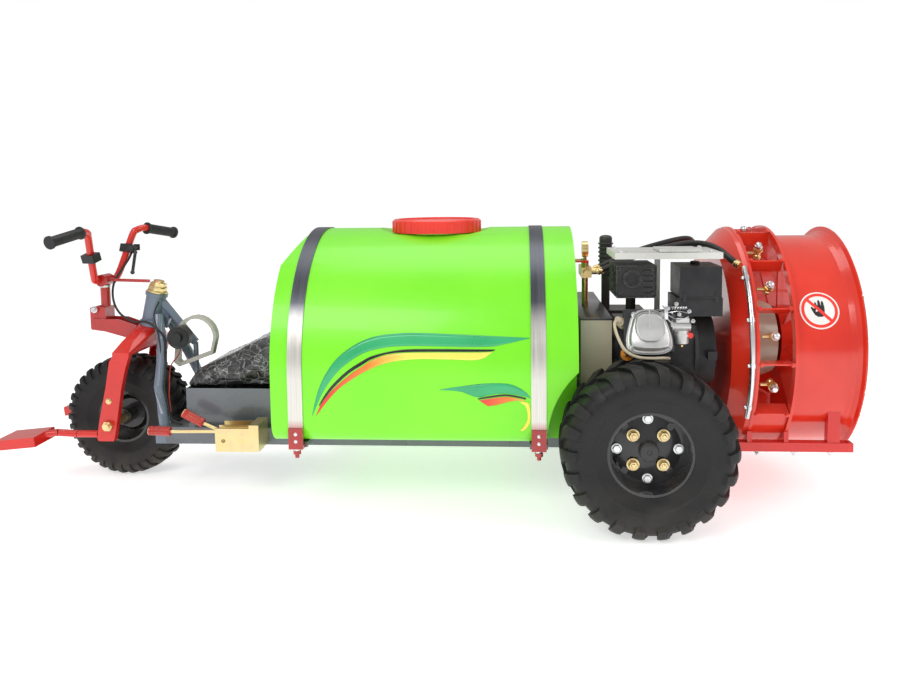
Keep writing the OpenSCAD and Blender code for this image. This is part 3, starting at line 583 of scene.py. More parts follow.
# %% Moulded plastic and rubber
black_plastic = hard_finish("black_plastic", (0.016, 0.016, 0.018), (0.03, 0.03, 0.032), (0.32, 0.46),
                            scale=160, bump=0.25, wear=0.2, worn=(0.12, 0.12, 0.12))
red_plastic = hard_finish("red_plastic", (0.85, 0.03, 0.02), (0.95, 0.05, 0.03), (0.26, 0.38), coat=0.2,
                          scale=90, bump=0.12, wear=0.2, worn=(0.95, 0.3, 0.25), dusty=0.12)
orange_plastic = hard_finish("orange_plastic", (0.9, 0.28, 0.02), (0.95, 0.36, 0.04), (0.3, 0.4), bump=0.12,
                             dusty=0.1)
white_plastic = hard_finish("white_plastic", (0.8, 0.8, 0.76), (0.88, 0.88, 0.85), (0.3, 0.42), bump=0.12,
                            dusty=0.1)
beige_rubber = hard_finish("beige_rubber", (0.55, 0.46, 0.32), (0.62, 0.54, 0.4), (0.5, 0.6), bump=0.2,
                           wear=0)
hose_rubber = hard_finish("hose_rubber", (0.016, 0.016, 0.017), (0.028, 0.028, 0.029), (0.38, 0.52),
                          scale=180, bump=0.2, wear=0)
grip_red = hard_finish("grip_red", (0.42, 0.015, 0.015), (0.52, 0.025, 0.02), (0.32, 0.45), bump=0.15, wear=0)
tyre_rubber = hard_finish("tyre_rubber", (0.010, 0.010, 0.011), (0.020, 0.020, 0.020), (0.42, 0.6),
                          scale=120, bump=0.4, wear=0.2, worn=(0.08, 0.075, 0.07), wear_width=0.004,
                          dusty=0.16)
print("plastics and rubber ready")


# %% Yellow zinc plate
def make_yellow_zinc():
    made = hard_finish("yellow_zinc", (0.72, 0.55, 0.24), (0.82, 0.68, 0.38), (0.26, 0.4), metal=0.9,
                       scale=90, bump=0.12, wear=0.4, worn=(0.8, 0.78, 0.7))
    tree = made.node_tree
    tint = place_group(tree, grain, Scale=320.0)
    shader = tree.nodes["Principled BSDF"]
    base = shader.inputs["Base Color"].links[0].from_socket
    rose = mixed(tree, ranged(tree, tint.outputs["Mottle"], 0.0, 0.35, 0.5, 0.7), base, (0.80, 0.45, 0.40))
    tree.links.new(rose, shader.inputs["Base Color"])
    return made


yellow_zinc = make_yellow_zinc()
print("zinc ready")


# %% Strap steel: rolled marks run round the tank, the strip darkens towards the crown, its feet are red
def make_strap_steel():
    made = bpy.data.materials.new("strap_steel")
    made.use_nodes = True
    tree = made.node_tree
    shader = tree.nodes["Principled BSDF"]
    shader.inputs["Metallic"].default_value = 0.9
    marks = place_group(tree, rolling_marks, Along_X=420.0, Along_Y=5.0, Along_Z=5.0)
    place = tree.nodes.new("ShaderNodeTexCoord")
    where = tree.nodes.new("ShaderNodeSeparateXYZ")
    tree.links.new(place.outputs["Object"], where.inputs[0])
    streaks = marks.outputs["Marks"]
    bright = mixed(tree, ranged(tree, streaks, 0.0, 1.0), (0.60, 0.57, 0.52), (0.80, 0.78, 0.74))
    dark = mixed(tree, ranged(tree, streaks, 0.0, 1.0), (0.085, 0.09, 0.11), (0.13, 0.135, 0.15))
    dark_from, dark_to = 0.50, 0.60
    red_below, red_until = 0.245, 0.285
    height = ranged(tree, where.outputs["Z"], 0.0, 1.0, dark_from, dark_to)
    steel = mixed(tree, height, bright, dark)
    end_red = ranged(tree, where.outputs["Z"], 1.0, 0.0, red_below, red_until)
    tree.links.new(mixed(tree, end_red, steel, (0.45, 0.02, 0.02)), shader.inputs["Base Color"])
    tree.links.new(ranged(tree, streaks, 0.28, 0.44), shader.inputs["Roughness"])
    relief = tree.nodes.new("ShaderNodeBump")
    relief.inputs["Strength"].default_value = 0.12
    relief.inputs["Distance"].default_value = 0.0004
    tree.links.new(streaks, relief.inputs["Height"])
    tree.links.new(relief.outputs["Normal"], shader.inputs["Normal"])
    return made


strap_steel = make_strap_steel()
print("strap steel ready")


# %% Tank polyethylene: a soft gloss with a slow wander in the green and a faint orange peel
tank_green = hard_finish("tank_green", (0.19, 0.80, 0.012), (0.235, 0.87, 0.02), (0.30, 0.40), coat=0.15,
                         scale=26, bump=0.08, wear=0, dusty=0.05)
tank_inputs = tank_green.node_tree.nodes["Principled BSDF"].inputs
tank_inputs["Subsurface Weight"].default_value = 0.08
tank_inputs["Subsurface Scale"].default_value = 0.02
print("tank green ready")

# %% [markdown]
# ## Dressing the CAD parts
#
# A CAD part keeps its own mesh. It only gets a material and a small bevel, because a perfectly
# sharp edge catches no light and looks like cardboard. The bevel is a modifier that works on edges
# that turn by more than forty degrees.

# %% Which finish each CAD part takes
finish_of = {
    frame_grey: ["main_rails", "crossmembers", "seat_box"],
    neck_slate: ["neck_legs", "head_tube"],
    strip_beige: ["guard_hoop"],
    black_plastic: ["horn", "battery", "air_filter", "recoil_starter", "switch_pod"],
    yellow_zinc: ["lever_gate", "front_axle", "gear_lever", "clutch_lever"],
    strap_steel: ["tank_straps"],
    bright_zinc: ["spray_manifold"],
    dark_red: ["strap_bolts", "bar_bracket"],
    white_plastic: ["strainer_basket"],
    engine_black: ["engine_block", "pump_body"],
    cast_alloy: ["carburettor"],
    muffler_black: ["muffler"],
    pale_sheet: ["engine_top_plate"],
    turned_brass: ["distributor", "nozzles"],
    guard_tan: ["belt_guard", "deflector_cone"],
    cast_grey: ["transaxle", "shaft_bearings", "crank_pulley", "pump_pulley"],
    fan_red: ["fan_front_shroud", "fan_duct", "fan_vanes", "fan_impeller"],
    gloss_red: ["fan_base", "fork_crown", "fork_legs", "foot_pegs"],
    black_steel: ["fan_guard", "brake_lever"],
    hose_rubber: ["belts"],
    rim_black: ["front_rim", "rear_rim_left", "rear_rim_right"],
    red_plastic: ["tank_lid", "valve_handle"],
}
no_bevel = {"belts", "nozzles", "fan_guard", "battery", "strainer_basket"}
for finish, names in finish_of.items():
    for name in names:
        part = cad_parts[name]
        for material_slot in part.material_slots:
            material_slot.material = finish
        if name not in no_bevel:
            bevel = part.modifiers.new("eased_edges", "BEVEL")
            bevel.width = 0.0012
            bevel.segments = 2
            bevel.limit_method = "ANGLE"
            bevel.angle_limit = radians(40)
            bevel.use_clamp_overlap = True
print("dressed", sum(len(names) for names in finish_of.values()), "CAD parts")

# %% [markdown]
# ## The tank
#
# The tank is one hollow moulding: an arched section with rounded bottom corners, a sloping front
# shoulder, a sunken seat for the lid and an arch over each rear wheel. It is drawn as a flat
# section, pulled along, cut by the shoulder and the arches, and then every edge is rolled over with
# a wide bevel, as a moulding has.

# %% Measures of the tank, in millimetres
tank_low, tank_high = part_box("tank")
half_width = 385.0
arc_height = 402.0
floor_height = 215.0
corner = 60.0
tank_front, tank_rear = -1009.0, -174.0
shoulder_height, shoulder_slope = 694.0, radians(60)
lid_x = -585.0
arch_radius = 258.0
arch_face, axle_height = 304, 228
print("tank box", tank_low[:], tank_high[:])


# %% The section pulled along, then cut by the sloping shoulder
def tank_prism():
    crown = [radians(a) for a in range(0, 181, 3)]
    section = [(half_width * cos(a), arc_height + half_width * sin(a)) for a in crown]
    for middle, start in ((-half_width + corner, 180), (half_width - corner, 270)):
        for step in range(0, 91, 15):
            a = radians(start + step)
            section.append((middle + corner * cos(a), floor_height + corner + corner * sin(a)))
    built = bmesh.new()
    ring = [built.verts.new(at(tank_front, y, z)) for y, z in section]
    face = built.faces.new(ring)
    pulled = bmesh.ops.extrude_face_region(built, geom=[face])
    for v in [g for g in pulled["geom"] if isinstance(g, bmesh.types.BMVert)]:
        v.co.x += (tank_rear - tank_front) / 1000
    bmesh.ops.remove_doubles(built, verts=built.verts, dist=1e-5)
    cut = bmesh.ops.bisect_plane(built, geom=list(built.verts) + list(built.edges) + list(built.faces),
                                 plane_co=at(tank_front, 0, shoulder_height),
                                 plane_no=(-sin(shoulder_slope), 0, cos(shoulder_slope)), clear_outer=True)
    edges = [g for g in cut["geom_cut"] if isinstance(g, bmesh.types.BMEdge)]
    bmesh.ops.contextual_create(built, geom=edges)
    bmesh.ops.recalc_face_normals(built, faces=built.faces)
    mesh = bpy.data.meshes.new("tank_shell")
    built.to_mesh(mesh)
    built.free()
    obj = bpy.data.objects.new("tank_shell", mesh)
    bpy.context.collection.objects.link(obj)
    return obj


tank_shell = tank_prism()
print("tank faces", len(tank_shell.data.polygons))


# %% Bake modifiers into a mesh
def apply_modifiers(obj):
    bpy.context.view_layer.update()
    made = bpy.data.meshes.new_from_object(obj.evaluated_get(bpy.context.evaluated_depsgraph_get()))
    obj.modifiers.clear()
    old = obj.data
    obj.data = made
    bpy.data.meshes.remove(old)
    return obj


# %% Cut the wheel arches and the lid's seat, then roll the edges
cutters = []
for side in (-1, 1):
    profile = [(0, arch_radius), (140, arch_radius)]
    cutters.append(turned("arch_cutter", at(0, side * arch_face, axle_height), (0, side, 0), profile, 96))
cutters.append(turned("seat_cutter", at(lid_x, 0, 771), (0, 0, 1), [(0, 150), (36, 205)], 72))
for cutter in cutters:
    cut = tank_shell.modifiers.new("cut", "BOOLEAN")
    cut.operation, cut.solver, cut.object = "DIFFERENCE", "EXACT", cutter
rolled = tank_shell.modifiers.new("rolled_edges", "BEVEL")
rolled.width, rolled.segments, rolled.limit_method, rolled.angle_limit = 0.014, 5, "ANGLE", radians(28)
apply_modifiers(tank_shell)
for cutter in cutters:
    bpy.data.objects.remove(cutter)
tank_shell.data.shade_smooth()
tank_shell.data.set_sharp_from_angle(angle=radians(34))
finish_piece(tank_shell, tank_green, "chassis")
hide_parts("tank")
print("tank shell faces", len(tank_shell.data.polygons))

# %% The neck that the lid screws on
tank_neck = turned("tank_neck", at(lid_x, 0, 770), (0, 0, 1),
                   [(0, 122), (24, 122), (27, 121), (28, 119), (28, 115), (20, 114), (0, 114)], 72)
finish_piece(tank_neck, tank_green, "chassis")
print("neck", tank_neck.dimensions[:])

# %% [markdown]
# ## Painted swooshes
#
# The decoration is a set of curved bands printed on film. Each band lies between two edge lines
# that are given along the tank and up round its skin. A strip of small quads follows the skin half
# a millimetre proud of it, so the band bends with the tank and never cuts into it.

# %% A point on the tank's skin: distance along, and distance up round the arc from its foot
def on_skin(x, up_round, lift=0.5):
    if up_round < 0:
        return at(x, -(half_width + lift), arc_height + up_round)
    a = up_round / half_width
    return at(x, -(half_width + lift) * cos(a), arc_height + (half_width + lift) * sin(a))


def evenly(line, count):
    line = smooth_path([Vector((x, s, 0)) for x, s in line], 8)
    steps = [0.0]
    for a, b in zip(line, line[1:]):
        steps.append(steps[-1] + (b - a).length)
    out, k = [], 0
    for i in range(count):
        want = steps[-1] * i / (count - 1)
        while k < len(steps) - 2 and steps[k + 1] < want:
            k += 1
        share = (want - steps[k]) / max(steps[k + 1] - steps[k], 1e-9)
        out.append(line[k].lerp(line[k + 1], min(max(share, 0), 1)))
    return out


def band(name, upper, lower, material, lift=0.5, count=72):
    a, b = evenly(upper, count), evenly(lower, count)
    verts, faces = [], []
    for p, q in zip(a, b):
        for k in range(5):
            m = p.lerp(q, k / 4)
            verts.append(on_skin(m.x, m.y, lift))
    for i in range(count - 1):
        for k in range(4):
            n = i * 5 + k
            faces.append((n, n + 1, n + 6, n + 5))
    obj = piece(name, verts, faces)
    skin = obj.modifiers.new("film", "SOLIDIFY")
    skin.thickness, skin.offset = 0.0002, 1
    apply_modifiers(obj)
    return finish_piece(obj, material, "chassis")


print("skin point", on_skin(-600, 50)[:])

# %% Band colours
def printed_film(name, colour, shade):
    return hard_finish(name, colour, shade, (0.25, 0.33), coat=0.4, bump=0.03, wear=0, dusty=0)


film_green = printed_film("film_green", (0.02, 0.38, 0.13), (0.03, 0.46, 0.17))
film_black = printed_film("film_black", (0.012, 0.012, 0.012), (0.02, 0.02, 0.02))
film_yellow = printed_film("film_yellow", (0.92, 0.78, 0.05), (0.97, 0.86, 0.10))


def make_sunset_film(name, start, stop):
    made = printed_film(name, (0.85, 0.06, 0.02), (0.9, 0.09, 0.02))
    tree = made.node_tree
    shader = tree.nodes["Principled BSDF"]
    place = tree.nodes.new("ShaderNodeTexCoord")
    where = tree.nodes.new("ShaderNodeSeparateXYZ")
    tree.links.new(place.outputs["Object"], where.inputs[0])
    share = ranged(tree, where.outputs["X"], 0.0, 1.0, start, stop)
    blend = tree.nodes.new("ShaderNodeValToRGB")
    tree.links.new(share, blend.inputs[0])
    stops = blend.color_ramp.elements
    stops[0].color, stops[1].color = (0.80, 0.035, 0.02, 1), (0.93, 0.80, 0.12, 1)
    stops[1].position = 0.9
    middle = stops.new(0.45)
    middle.color = (0.90, 0.22, 0.02, 1)
    tree.links.new(blend.outputs[0], shader.inputs["Base Color"])
    return made


sunset_film = make_sunset_film("sunset_film", at(-850, 0, 0).x, at(-610, 0, 0).x)
sunset_film_small = make_sunset_film("sunset_film_small", at(-430, 0, 0).x, at(-260, 0, 0).x)
print("film colours ready")

# %% The big swoosh and the small one
band("swoosh_green",
     [(-895, -106), (-879, -44), (-856, 7), (-821, 54), (-771, 91), (-722, 111), (-666, 119), (-597, 121),
      (-430, 114), (-303, 108)],
     [(-894, -106), (-867, -47), (-840, -5), (-808, 29), (-758, 63), (-708, 79), (-634, 86), (-430, 84),
      (-368, 92), (-303, 107)],
     film_green)
band("swoosh_black",
     [(-874, -74), (-857, -46), (-834, -17), (-796, 18), (-758, 43), (-721, 61), (-646, 76), (-553, 78),
      (-396, 77)],
     [(-874, -79), (-855, -53), (-831, -25), (-793, 10), (-756, 34), (-719, 54), (-646, 69), (-430, 71),
      (-396, 75)],
     film_black, 0.6)
band("swoosh_sunset",
     [(-884, -106), (-870, -75), (-848, -46), (-822, -20), (-783, 12), (-752, 32), (-718, 52), (-646, 67),
      (-430, 69), (-402, 72)],
     [(-883, -106), (-855, -69), (-822, -33), (-784, -5), (-733, 24), (-677, 43), (-602, 51), (-510, 50),
      (-439, 50), (-402, 71)],
     sunset_film)
band("little_swoosh_green",
     [(-545, -31), (-510, -25), (-467, -19), (-424, -14), (-369, -14), (-339, -22), (-314, -38), (-303, -51)],
     [(-545, -32), (-492, -36), (-468, -44), (-440, -52), (-412, -45), (-369, -41), (-326, -47), (-303, -53)],
     film_green)
band("little_swoosh_black",
     [(-443, -55), (-412, -48), (-369, -43), (-333, -48), (-314, -53)],
     [(-442, -58), (-412, -53), (-369, -48), (-333, -53), (-316, -57)], film_black, 0.6)
band("little_swoosh_sunset",
     [(-440, -60), (-412, -55), (-369, -50), (-339, -54), (-317, -59)],
     [(-416, -76), (-388, -71), (-363, -64), (-339, -60), (-317, -61)], sunset_film_small)
band("little_swoosh_curl",
     [(-330, -62), (-308, -67), (-303, -84), (-302, -106), (-306, -126), (-318, -140), (-328, -144)],
     [(-329, -66), (-317, -74), (-311, -90), (-310, -106), (-314, -120), (-322, -132), (-328, -139)],
     film_yellow)
print("swooshes made")

# %% [markdown]
# ## Tyres
#
# A tyre is a turned carcass with blocks of rubber on it. The carcass is a profile turned round the
# axle. Each block is a curved brick: its corners are given as an angle round the wheel and a
# distance across it, so it bends with the tread. Two staggered rows of slanted blocks give grip in
# soft orchard soil.

# %% The carcass profile, as (distance across, radius)
def carcass_profile(r, w, bead):
    h = r - bead
    shares = [(0.36, 0), (0.40, 0.03), (0.415, 0.10), (0.44, 0.18), (0.470, 0.30), (0.480, 0.32),
              (0.478, 0.36), (0.497, 0.50), (0.492, 0.62), (0.470, 0.74), (0.425, 0.83), (0.34, 0.885),
              (0.2, 0.905), (0.07, 0.912)]
    return [(across_share * w, bead + up_share * h) for across_share, up_share in shares]


def tread_radius(y, r, w, bead):
    profile = carcass_profile(r, w, bead)
    y = abs(y)
    for (y1, r1), (y2, r2) in zip(profile[7:], profile[8:]):
        if y2 <= y <= y1:
            return r2 + (r1 - r2) * (y - y2) / (y1 - y2)
    return profile[-1][1]


print("tread radius", tread_radius(40, 228, 178, 108))


# %% One curved block of tread
def tread_block(built, centre, r, w, bead, corners, lift, sink=4, cuts=4):
    rows = []
    for top in (False, True):
        grid = []
        for i in range(cuts + 1):
            line = []
            for j in range(cuts + 1):
                u, v = i / cuts, j / cuts
                a = [c[0] for c in corners]
                y = [c[1] for c in corners]
                angle = (a[0] * (1 - u) + a[1] * u) * (1 - v) + (a[3] * (1 - u) + a[2] * u) * v
                place = (y[0] * (1 - u) + y[1] * u) * (1 - v) + (y[3] * (1 - u) + y[2] * u) * v
                ground = tread_radius(place, r, w, bead)
                edge = min(u, 1 - u, v, 1 - v) * 2
                radius = ground - sink
                if top:
                    radius = min(ground + lift * (0.86 + 0.14 * min(edge * 3, 1)), r - 0.2)
                    down = min(max((abs(place) - 0.34 * w) / (0.13 * w), 0), 1)
                    radius -= lift * 0.45 * down
                    place += lift * 0.6 * down * (1 if place > 0 else -1)
                point = Vector((sin(angle) * radius, place, cos(angle) * radius))
                line.append(built.verts.new(centre + point / 1000))
            grid.append(line)
        rows.append(grid)
    low, high = rows
    for i in range(cuts):
        for j in range(cuts):
            built.faces.new((high[i][j], high[i + 1][j], high[i + 1][j + 1], high[i][j + 1]))
            built.faces.new((low[i][j + 1], low[i + 1][j + 1], low[i + 1][j], low[i][j]))
    for i in range(cuts):
        built.faces.new((low[i][0], low[i + 1][0], high[i + 1][0], high[i][0]))
        built.faces.new((high[i][cuts], high[i + 1][cuts], low[i + 1][cuts], low[i][cuts]))
        built.faces.new((high[0][i], high[0][i + 1], low[0][i + 1], low[0][i]))
        built.faces.new((low[cuts][i], low[cuts][i + 1], high[cuts][i + 1], high[cuts][i]))


# %% A whole tyre
def tyre(name, node, count, lift, bead):
    low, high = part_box(node)
    centre = (low + high) / 2
    r, w = (high.z - low.z) * 500, (high.y - low.y) * 1000
    side = carcass_profile(r, w, bead)
    profile = [(-y, q) for y, q in side] + [(y, q) for y, q in reversed(side)]
    inner = [(0.33 * w, bead + 2), (0.44 * w, bead + 0.45 * (r - bead)), (0.3 * w, bead + 0.78 * (r - bead))]
    profile += [(y, q) for y, q in inner] + [(-y, q) for y, q in reversed(inner)] + [profile[0]]
    carcass = turned(name, centre, (0, 1, 0), profile, 120, 40)
    blocks = bmesh.new()
    step = 2 * pi / count
    for i in range(count):
        for side_sign in (-1, 1):
            a = i * step + (step / 2 if side_sign > 0 else 0)
            y = [0.03 * w, 0.30 * w, 0.485 * w]
            inner_half, outer_half = step * 0.24, step * 0.28
            lean = step * 0.42
            corners = [(a - inner_half, side_sign * y[0]), (a + inner_half, side_sign * y[0]),
                       (a + lean + outer_half, side_sign * y[1]), (a + lean - inner_half, side_sign * y[1])]
            tread_block(blocks, centre, r, w, bead, corners, lift)
            shoulder = [(a + lean - outer_half * 0.9, side_sign * y[1]),
                        (a + lean + outer_half, side_sign * y[1]),
                        (a + lean * 1.2 + outer_half * 0.8, side_sign * y[2]),
                        (a + lean * 1.2 - outer_half * 0.7, side_sign * y[2])]
            tread_block(blocks, centre, r, w, bead, shoulder, lift)
    bmesh.ops.recalc_face_normals(blocks, faces=blocks.faces)
    mesh = bpy.data.meshes.new(name + "_blocks")
    blocks.to_mesh(mesh)
    blocks.free()
    mesh.shade_smooth()
    mesh.set_sharp_from_angle(angle=radians(32))
    lugs = bpy.data.objects.new(name + "_blocks", mesh)
    bpy.context.collection.objects.link(lugs)
    return join(carcass, [lugs])


for name, node, body, count, lift, bead in (
        ("knobbly_tyre_left", "rear_tyre_left", "rear_wheel_left", 22, 13, 108),
        ("knobbly_tyre_right", "rear_tyre_right", "rear_wheel_right", 22, 13, 108),
        ("steered_tyre", "front_tyre", "front_wheel", 34, 9, 80)):
    made = finish_piece(tyre(name, node, count, lift, bead), tyre_rubber, body)
    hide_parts(node)
    print(name, made.dimensions[:], len(made.data.polygons))

# %% [markdown]
# ## Wheel nuts, bolts and valves
#
# Each rear wheel shows four yellow plated nuts on a small circle and four bright bolts that hold
# the two rim halves. They turn with the wheel, so they ride on its body. The front axle has one
# large plated nut on each side.

# %% Wheel fasteners
wheel_face = 414
for side, body in ((-1, "rear_wheel_left"), (1, "rear_wheel_right")):
    hub = at(0, side * wheel_face, axle_height)
    outboard = (0, side, 0)
    nuts, bolts = [], []
    for i in range(4):
        a = radians(45 + 90 * i)
        out = Vector((cos(a), 0, sin(a)))
        straight = Vector((cos(a - pi / 4), 0, sin(a - pi / 4)))
        nut_seat = hub + out * 0.055 + Vector((0, side * 0.0235, 0))
        bolt_seat = hub + straight * 0.080 + Vector((0, side * 0.0125, 0))
        nuts.append(hex_head("wheel_nut", nut_seat, outboard, 26.5, 15, True, 6))
        bolts.append(hex_head("rim_bolt", bolt_seat, outboard, 22, 8))
    label = "left" if side < 0 else "right"
    finish_set(nuts, "wheel_nuts_" + label, yellow_zinc, body)
    finish_set(bolts, "rim_bolts_" + label, bright_zinc, body)
    cap = turned("hub_cap_" + label, hub + Vector((0, side * 0.020, 0)), outboard,
                 [(0, 26), (22, 25.5), (25, 23), (26.5, 17), (26.5, 7), (24.5, 5), (24.5, 0)], 40)
    finish_piece(cap, black_steel, body)
    stem_angle, stem_radius = radians(200), 0.088
    stem_foot = hub + Vector((cos(stem_angle) * stem_radius, side * 0.012, sin(stem_angle) * stem_radius))
    profile = [(0, 6), (12, 5), (14, 3.6), (26, 3.6), (27, 4.4), (34, 4.4), (35, 3)]
    valve = turned("tyre_valve_" + label, stem_foot, outboard, profile, 16)
    finish_piece(valve, hose_rubber, body)
    print("fasteners", label)

# %% [markdown]
# ## The saddle seat
#
# The seat is a foam wedge in black vinyl with a clear, crinkled film still over it. The wedge
# starts a little small. A voxel remesh gives it even quads, and a cloth simulation with pressure
# swells it, so that its faces crown and its edges pull in. The move of each point is capped, and
# the underside stays flat on the seat box.

# %% Vinyl under crinkled film, with painted highlights along the crinkles
def fresh_tree(mat):
    mat.use_nodes = True
    mat.node_tree.nodes.clear()
    return mat.node_tree


def seat_finish():
    mat = bpy.data.materials.new("seat_vinyl_film")
    tree = fresh_tree(mat)
    nodes, links = tree.nodes, tree.links
    shader = nodes.new("ShaderNodeBsdfPrincipled")
    shader.inputs["Roughness"].default_value = 0.42
    shader.inputs["Coat Weight"].default_value = 0.9
    shader.inputs["Coat Roughness"].default_value = 0.07
    coords = nodes.new("ShaderNodeTexCoord")
    pores = nodes.new("ShaderNodeTexVoronoi")
    pores.inputs["Scale"].default_value = 420
    links.new(coords.outputs["Object"], pores.inputs["Vector"])
    grain_bump = nodes.new("ShaderNodeBump")
    grain_bump.inputs["Strength"].default_value = 0.25
    grain_bump.inputs["Distance"].default_value = 0.0004
    links.new(pores.outputs["Distance"], grain_bump.inputs["Height"])
    links.new(grain_bump.outputs["Normal"], shader.inputs["Normal"])
    stretch = nodes.new("ShaderNodeMapping")
    stretch.inputs["Scale"].default_value = (1.0, 0.55, 1.5)
    links.new(coords.outputs["Object"], stretch.inputs["Vector"])
    warp = nodes.new("ShaderNodeTexNoise")
    warp.inputs["Scale"].default_value = 14
    warp.inputs["Detail"].default_value = 3
    links.new(stretch.outputs["Vector"], warp.inputs["Vector"])
    shift = nodes.new("ShaderNodeVectorMath")
    shift.operation = "MULTIPLY_ADD"
    shift.inputs[1].default_value = (0.07, 0.07, 0.07)
    links.new(warp.outputs["Color"], shift.inputs[0])
    links.new(stretch.outputs["Vector"], shift.inputs[2])
    folds = nodes.new("ShaderNodeTexVoronoi")
    folds.feature = "DISTANCE_TO_EDGE"
    folds.inputs["Scale"].default_value = 26
    links.new(shift.outputs["Vector"], folds.inputs["Vector"])
    film_bump = nodes.new("ShaderNodeBump")
    film_bump.inputs["Strength"].default_value = 1.0
    film_bump.inputs["Distance"].default_value = 0.012
    links.new(folds.outputs["Distance"], film_bump.inputs["Height"])
    links.new(film_bump.outputs["Normal"], shader.inputs["Coat Normal"])
    # Painted highlight: the base colour turns light grey along the film's crinkle edges, where the folds
    # would catch the light.
    painted_crinkle_highlight = nodes.new("ShaderNodeMapRange")
    painted_crinkle_highlight.inputs["From Min"].default_value = 0.028
    painted_crinkle_highlight.inputs["From Max"].default_value = 0.0
    painted_crinkle_highlight.inputs["To Max"].default_value = 0.42
    links.new(folds.outputs["Distance"], painted_crinkle_highlight.inputs["Value"])
    # Mix the black vinyl with the light grey of the painted crinkle highlights.
    tint = nodes.new("ShaderNodeMix")
    tint.data_type = "RGBA"
    tint.inputs[6].default_value = (0.012, 0.012, 0.014, 1)
    tint.inputs[7].default_value = (0.62, 0.62, 0.60, 1)
    links.new(painted_crinkle_highlight.outputs["Result"], tint.inputs[0])
    links.new(tint.outputs[2], shader.inputs["Base Color"])
    out = nodes.new("ShaderNodeOutputMaterial")
    links.new(shader.outputs["BSDF"], out.inputs["Surface"])
    return mat


seat_vinyl = seat_finish()
print("seat material ready")

# %% Wedge, remesh and swell
def swollen(obj, pressure, cap, floor_z):
    start = [v.co.copy() for v in obj.data.vertices]
    cloth = obj.modifiers.new("swell", "CLOTH")
    cloth.settings.use_pressure = True
    cloth.settings.uniform_pressure_force = pressure
    cloth.settings.effector_weights.gravity = 0
    scene = bpy.context.scene
    for frame_number in range(1, 21):
        scene.frame_set(frame_number)
    graph = bpy.context.evaluated_depsgraph_get()
    end = [v.co.copy() for v in obj.evaluated_get(graph).data.vertices]
    obj.modifiers.clear()
    scene.frame_set(1)
    longest = 0
    for v, a, b in zip(obj.data.vertices, start, end):
        move = b - a
        move *= min(1, cap / max(move.length, 1e-9))
        longest = max(longest, move.length)
        v.co = a + move
        v.co.z = max(v.co.z, floor_z)
    print("longest move in mm", round(longest * 1000, 1))


seat_side = [(-1345, 315), (-1349, 331), (-1288, 363), (-1204, 399), (-1126, 440), (-1072, 456),
             (-1032, 456), (-1026, 436), (-1026, 315)]
seat_half = 156
verts = [at(x, y, z) for y in (-seat_half, seat_half) for x, z in seat_side]
count = len(seat_side)
faces = [tuple(range(count)), tuple(range(2 * count - 1, count - 1, -1))]
faces += [(i, (i + 1) % count, (i + 1) % count + count, i + count) for i in range(count)]
seat = piece("seat_pad", verts, faces, 60)
voxels = seat.modifiers.new("voxels", "REMESH")
voxels.mode = "VOXEL"
voxels.voxel_size = 0.006
voxels.use_smooth_shade = True
soften = seat.modifiers.new("soften", "SMOOTH")
soften.factor = 0.5
soften.iterations = 6
apply_modifiers(seat)
swollen(seat, pressure=4, cap=0.014, floor_z=at(0, 0, 314.6).z)
refine = seat.modifiers.new("refine", "SUBSURF")
refine.levels = 1
refine.render_levels = 1
apply_modifiers(seat)
wrinkle = bpy.data.textures.new("seat_creases", "CLOUDS")
wrinkle.noise_scale = 0.05
creases = seat.modifiers.new("creases", "DISPLACE")
creases.texture = wrinkle
creases.texture_coords = "GLOBAL"
creases.strength = 0.006
creases.mid_level = 0.6
apply_modifiers(seat)
lowest, foremost = at(0, 0, 314.4).z, at(-1360, 0, 0).x
for v in seat.data.vertices:
    v.co.z = max(v.co.z, lowest)
    v.co.x = max(v.co.x, foremost)
seat.data.shade_smooth()
finish_piece(seat, seat_vinyl, "chassis")
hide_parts("seat_cushion")
print("seat points", len(seat.data.vertices))

# %% [markdown]
# ## Front end
#
# The handlebar, the grips and the brake cable are rebuilt as smooth tubes. The cable crosses the
# steering axis on its way from the lever to the rail. Nuts, ties and small screws are added
# where the real machine has them.

# %% Points in the handlebar's own frame, which stands turned a little to one side
stem_x, stem_top, bar_turn = -1662, 626, radians(-17)


def bar_at(x, y, z):
    along = x * cos(bar_turn) - y * sin(bar_turn)
    return at(stem_x + along, x * sin(bar_turn) + y * cos(bar_turn), stem_top + z)


half = [(0, 32, 0), (10, 54, 22), (34, 92, 138), (44, 104, 156), (52, 126, 162), (53, 137, 160)]
route = [bar_at(x, -y, z) for x, y, z in reversed(half)] + [bar_at(*p) for p in half]
handlebar = tube("bent_handlebar", smooth_path(route, 7), 0.011, 24)
finish_piece(handlebar, gloss_red, "steering")
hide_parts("handlebar")
print("handlebar tube", round(path_length(smooth_path(route, 7)), 3), "m")


# %% Grips with a flange at each end and fine ribs
def grip(name, side):
    a, b = bar_at(52, side * 126, 162), bar_at(60, side * 262, 138)
    length = (b - a).length * 1000
    profile = [(11.6, 11.2), (11.6, 18.5), (12.6, 20), (16.5, 20), (17.6, 18.5), (18.6, 16)]
    along = 22
    while along < length - 14:
        profile += [(along, 16), (along + 0.9, 15.1), (along + 3.2, 15.1), (along + 4.1, 16)]
        along += 6
    profile += [(length - 8.6, 16), (length - 8, 19), (length - 6.8, 20), (length - 1.6, 20)]
    profile += [(length - 0.2, 18.4), (length, 15), (length, 0)]
    return turned(name, a, b - a, profile, 40)


grip_near, grip_far = grip("grip_left", -1), grip("grip_right", 1)
for obj in (grip_near, grip_far):
    finish_piece(obj, black_plastic, "steering")
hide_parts("grips")
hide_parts("grips")
print("handlebar and grips")

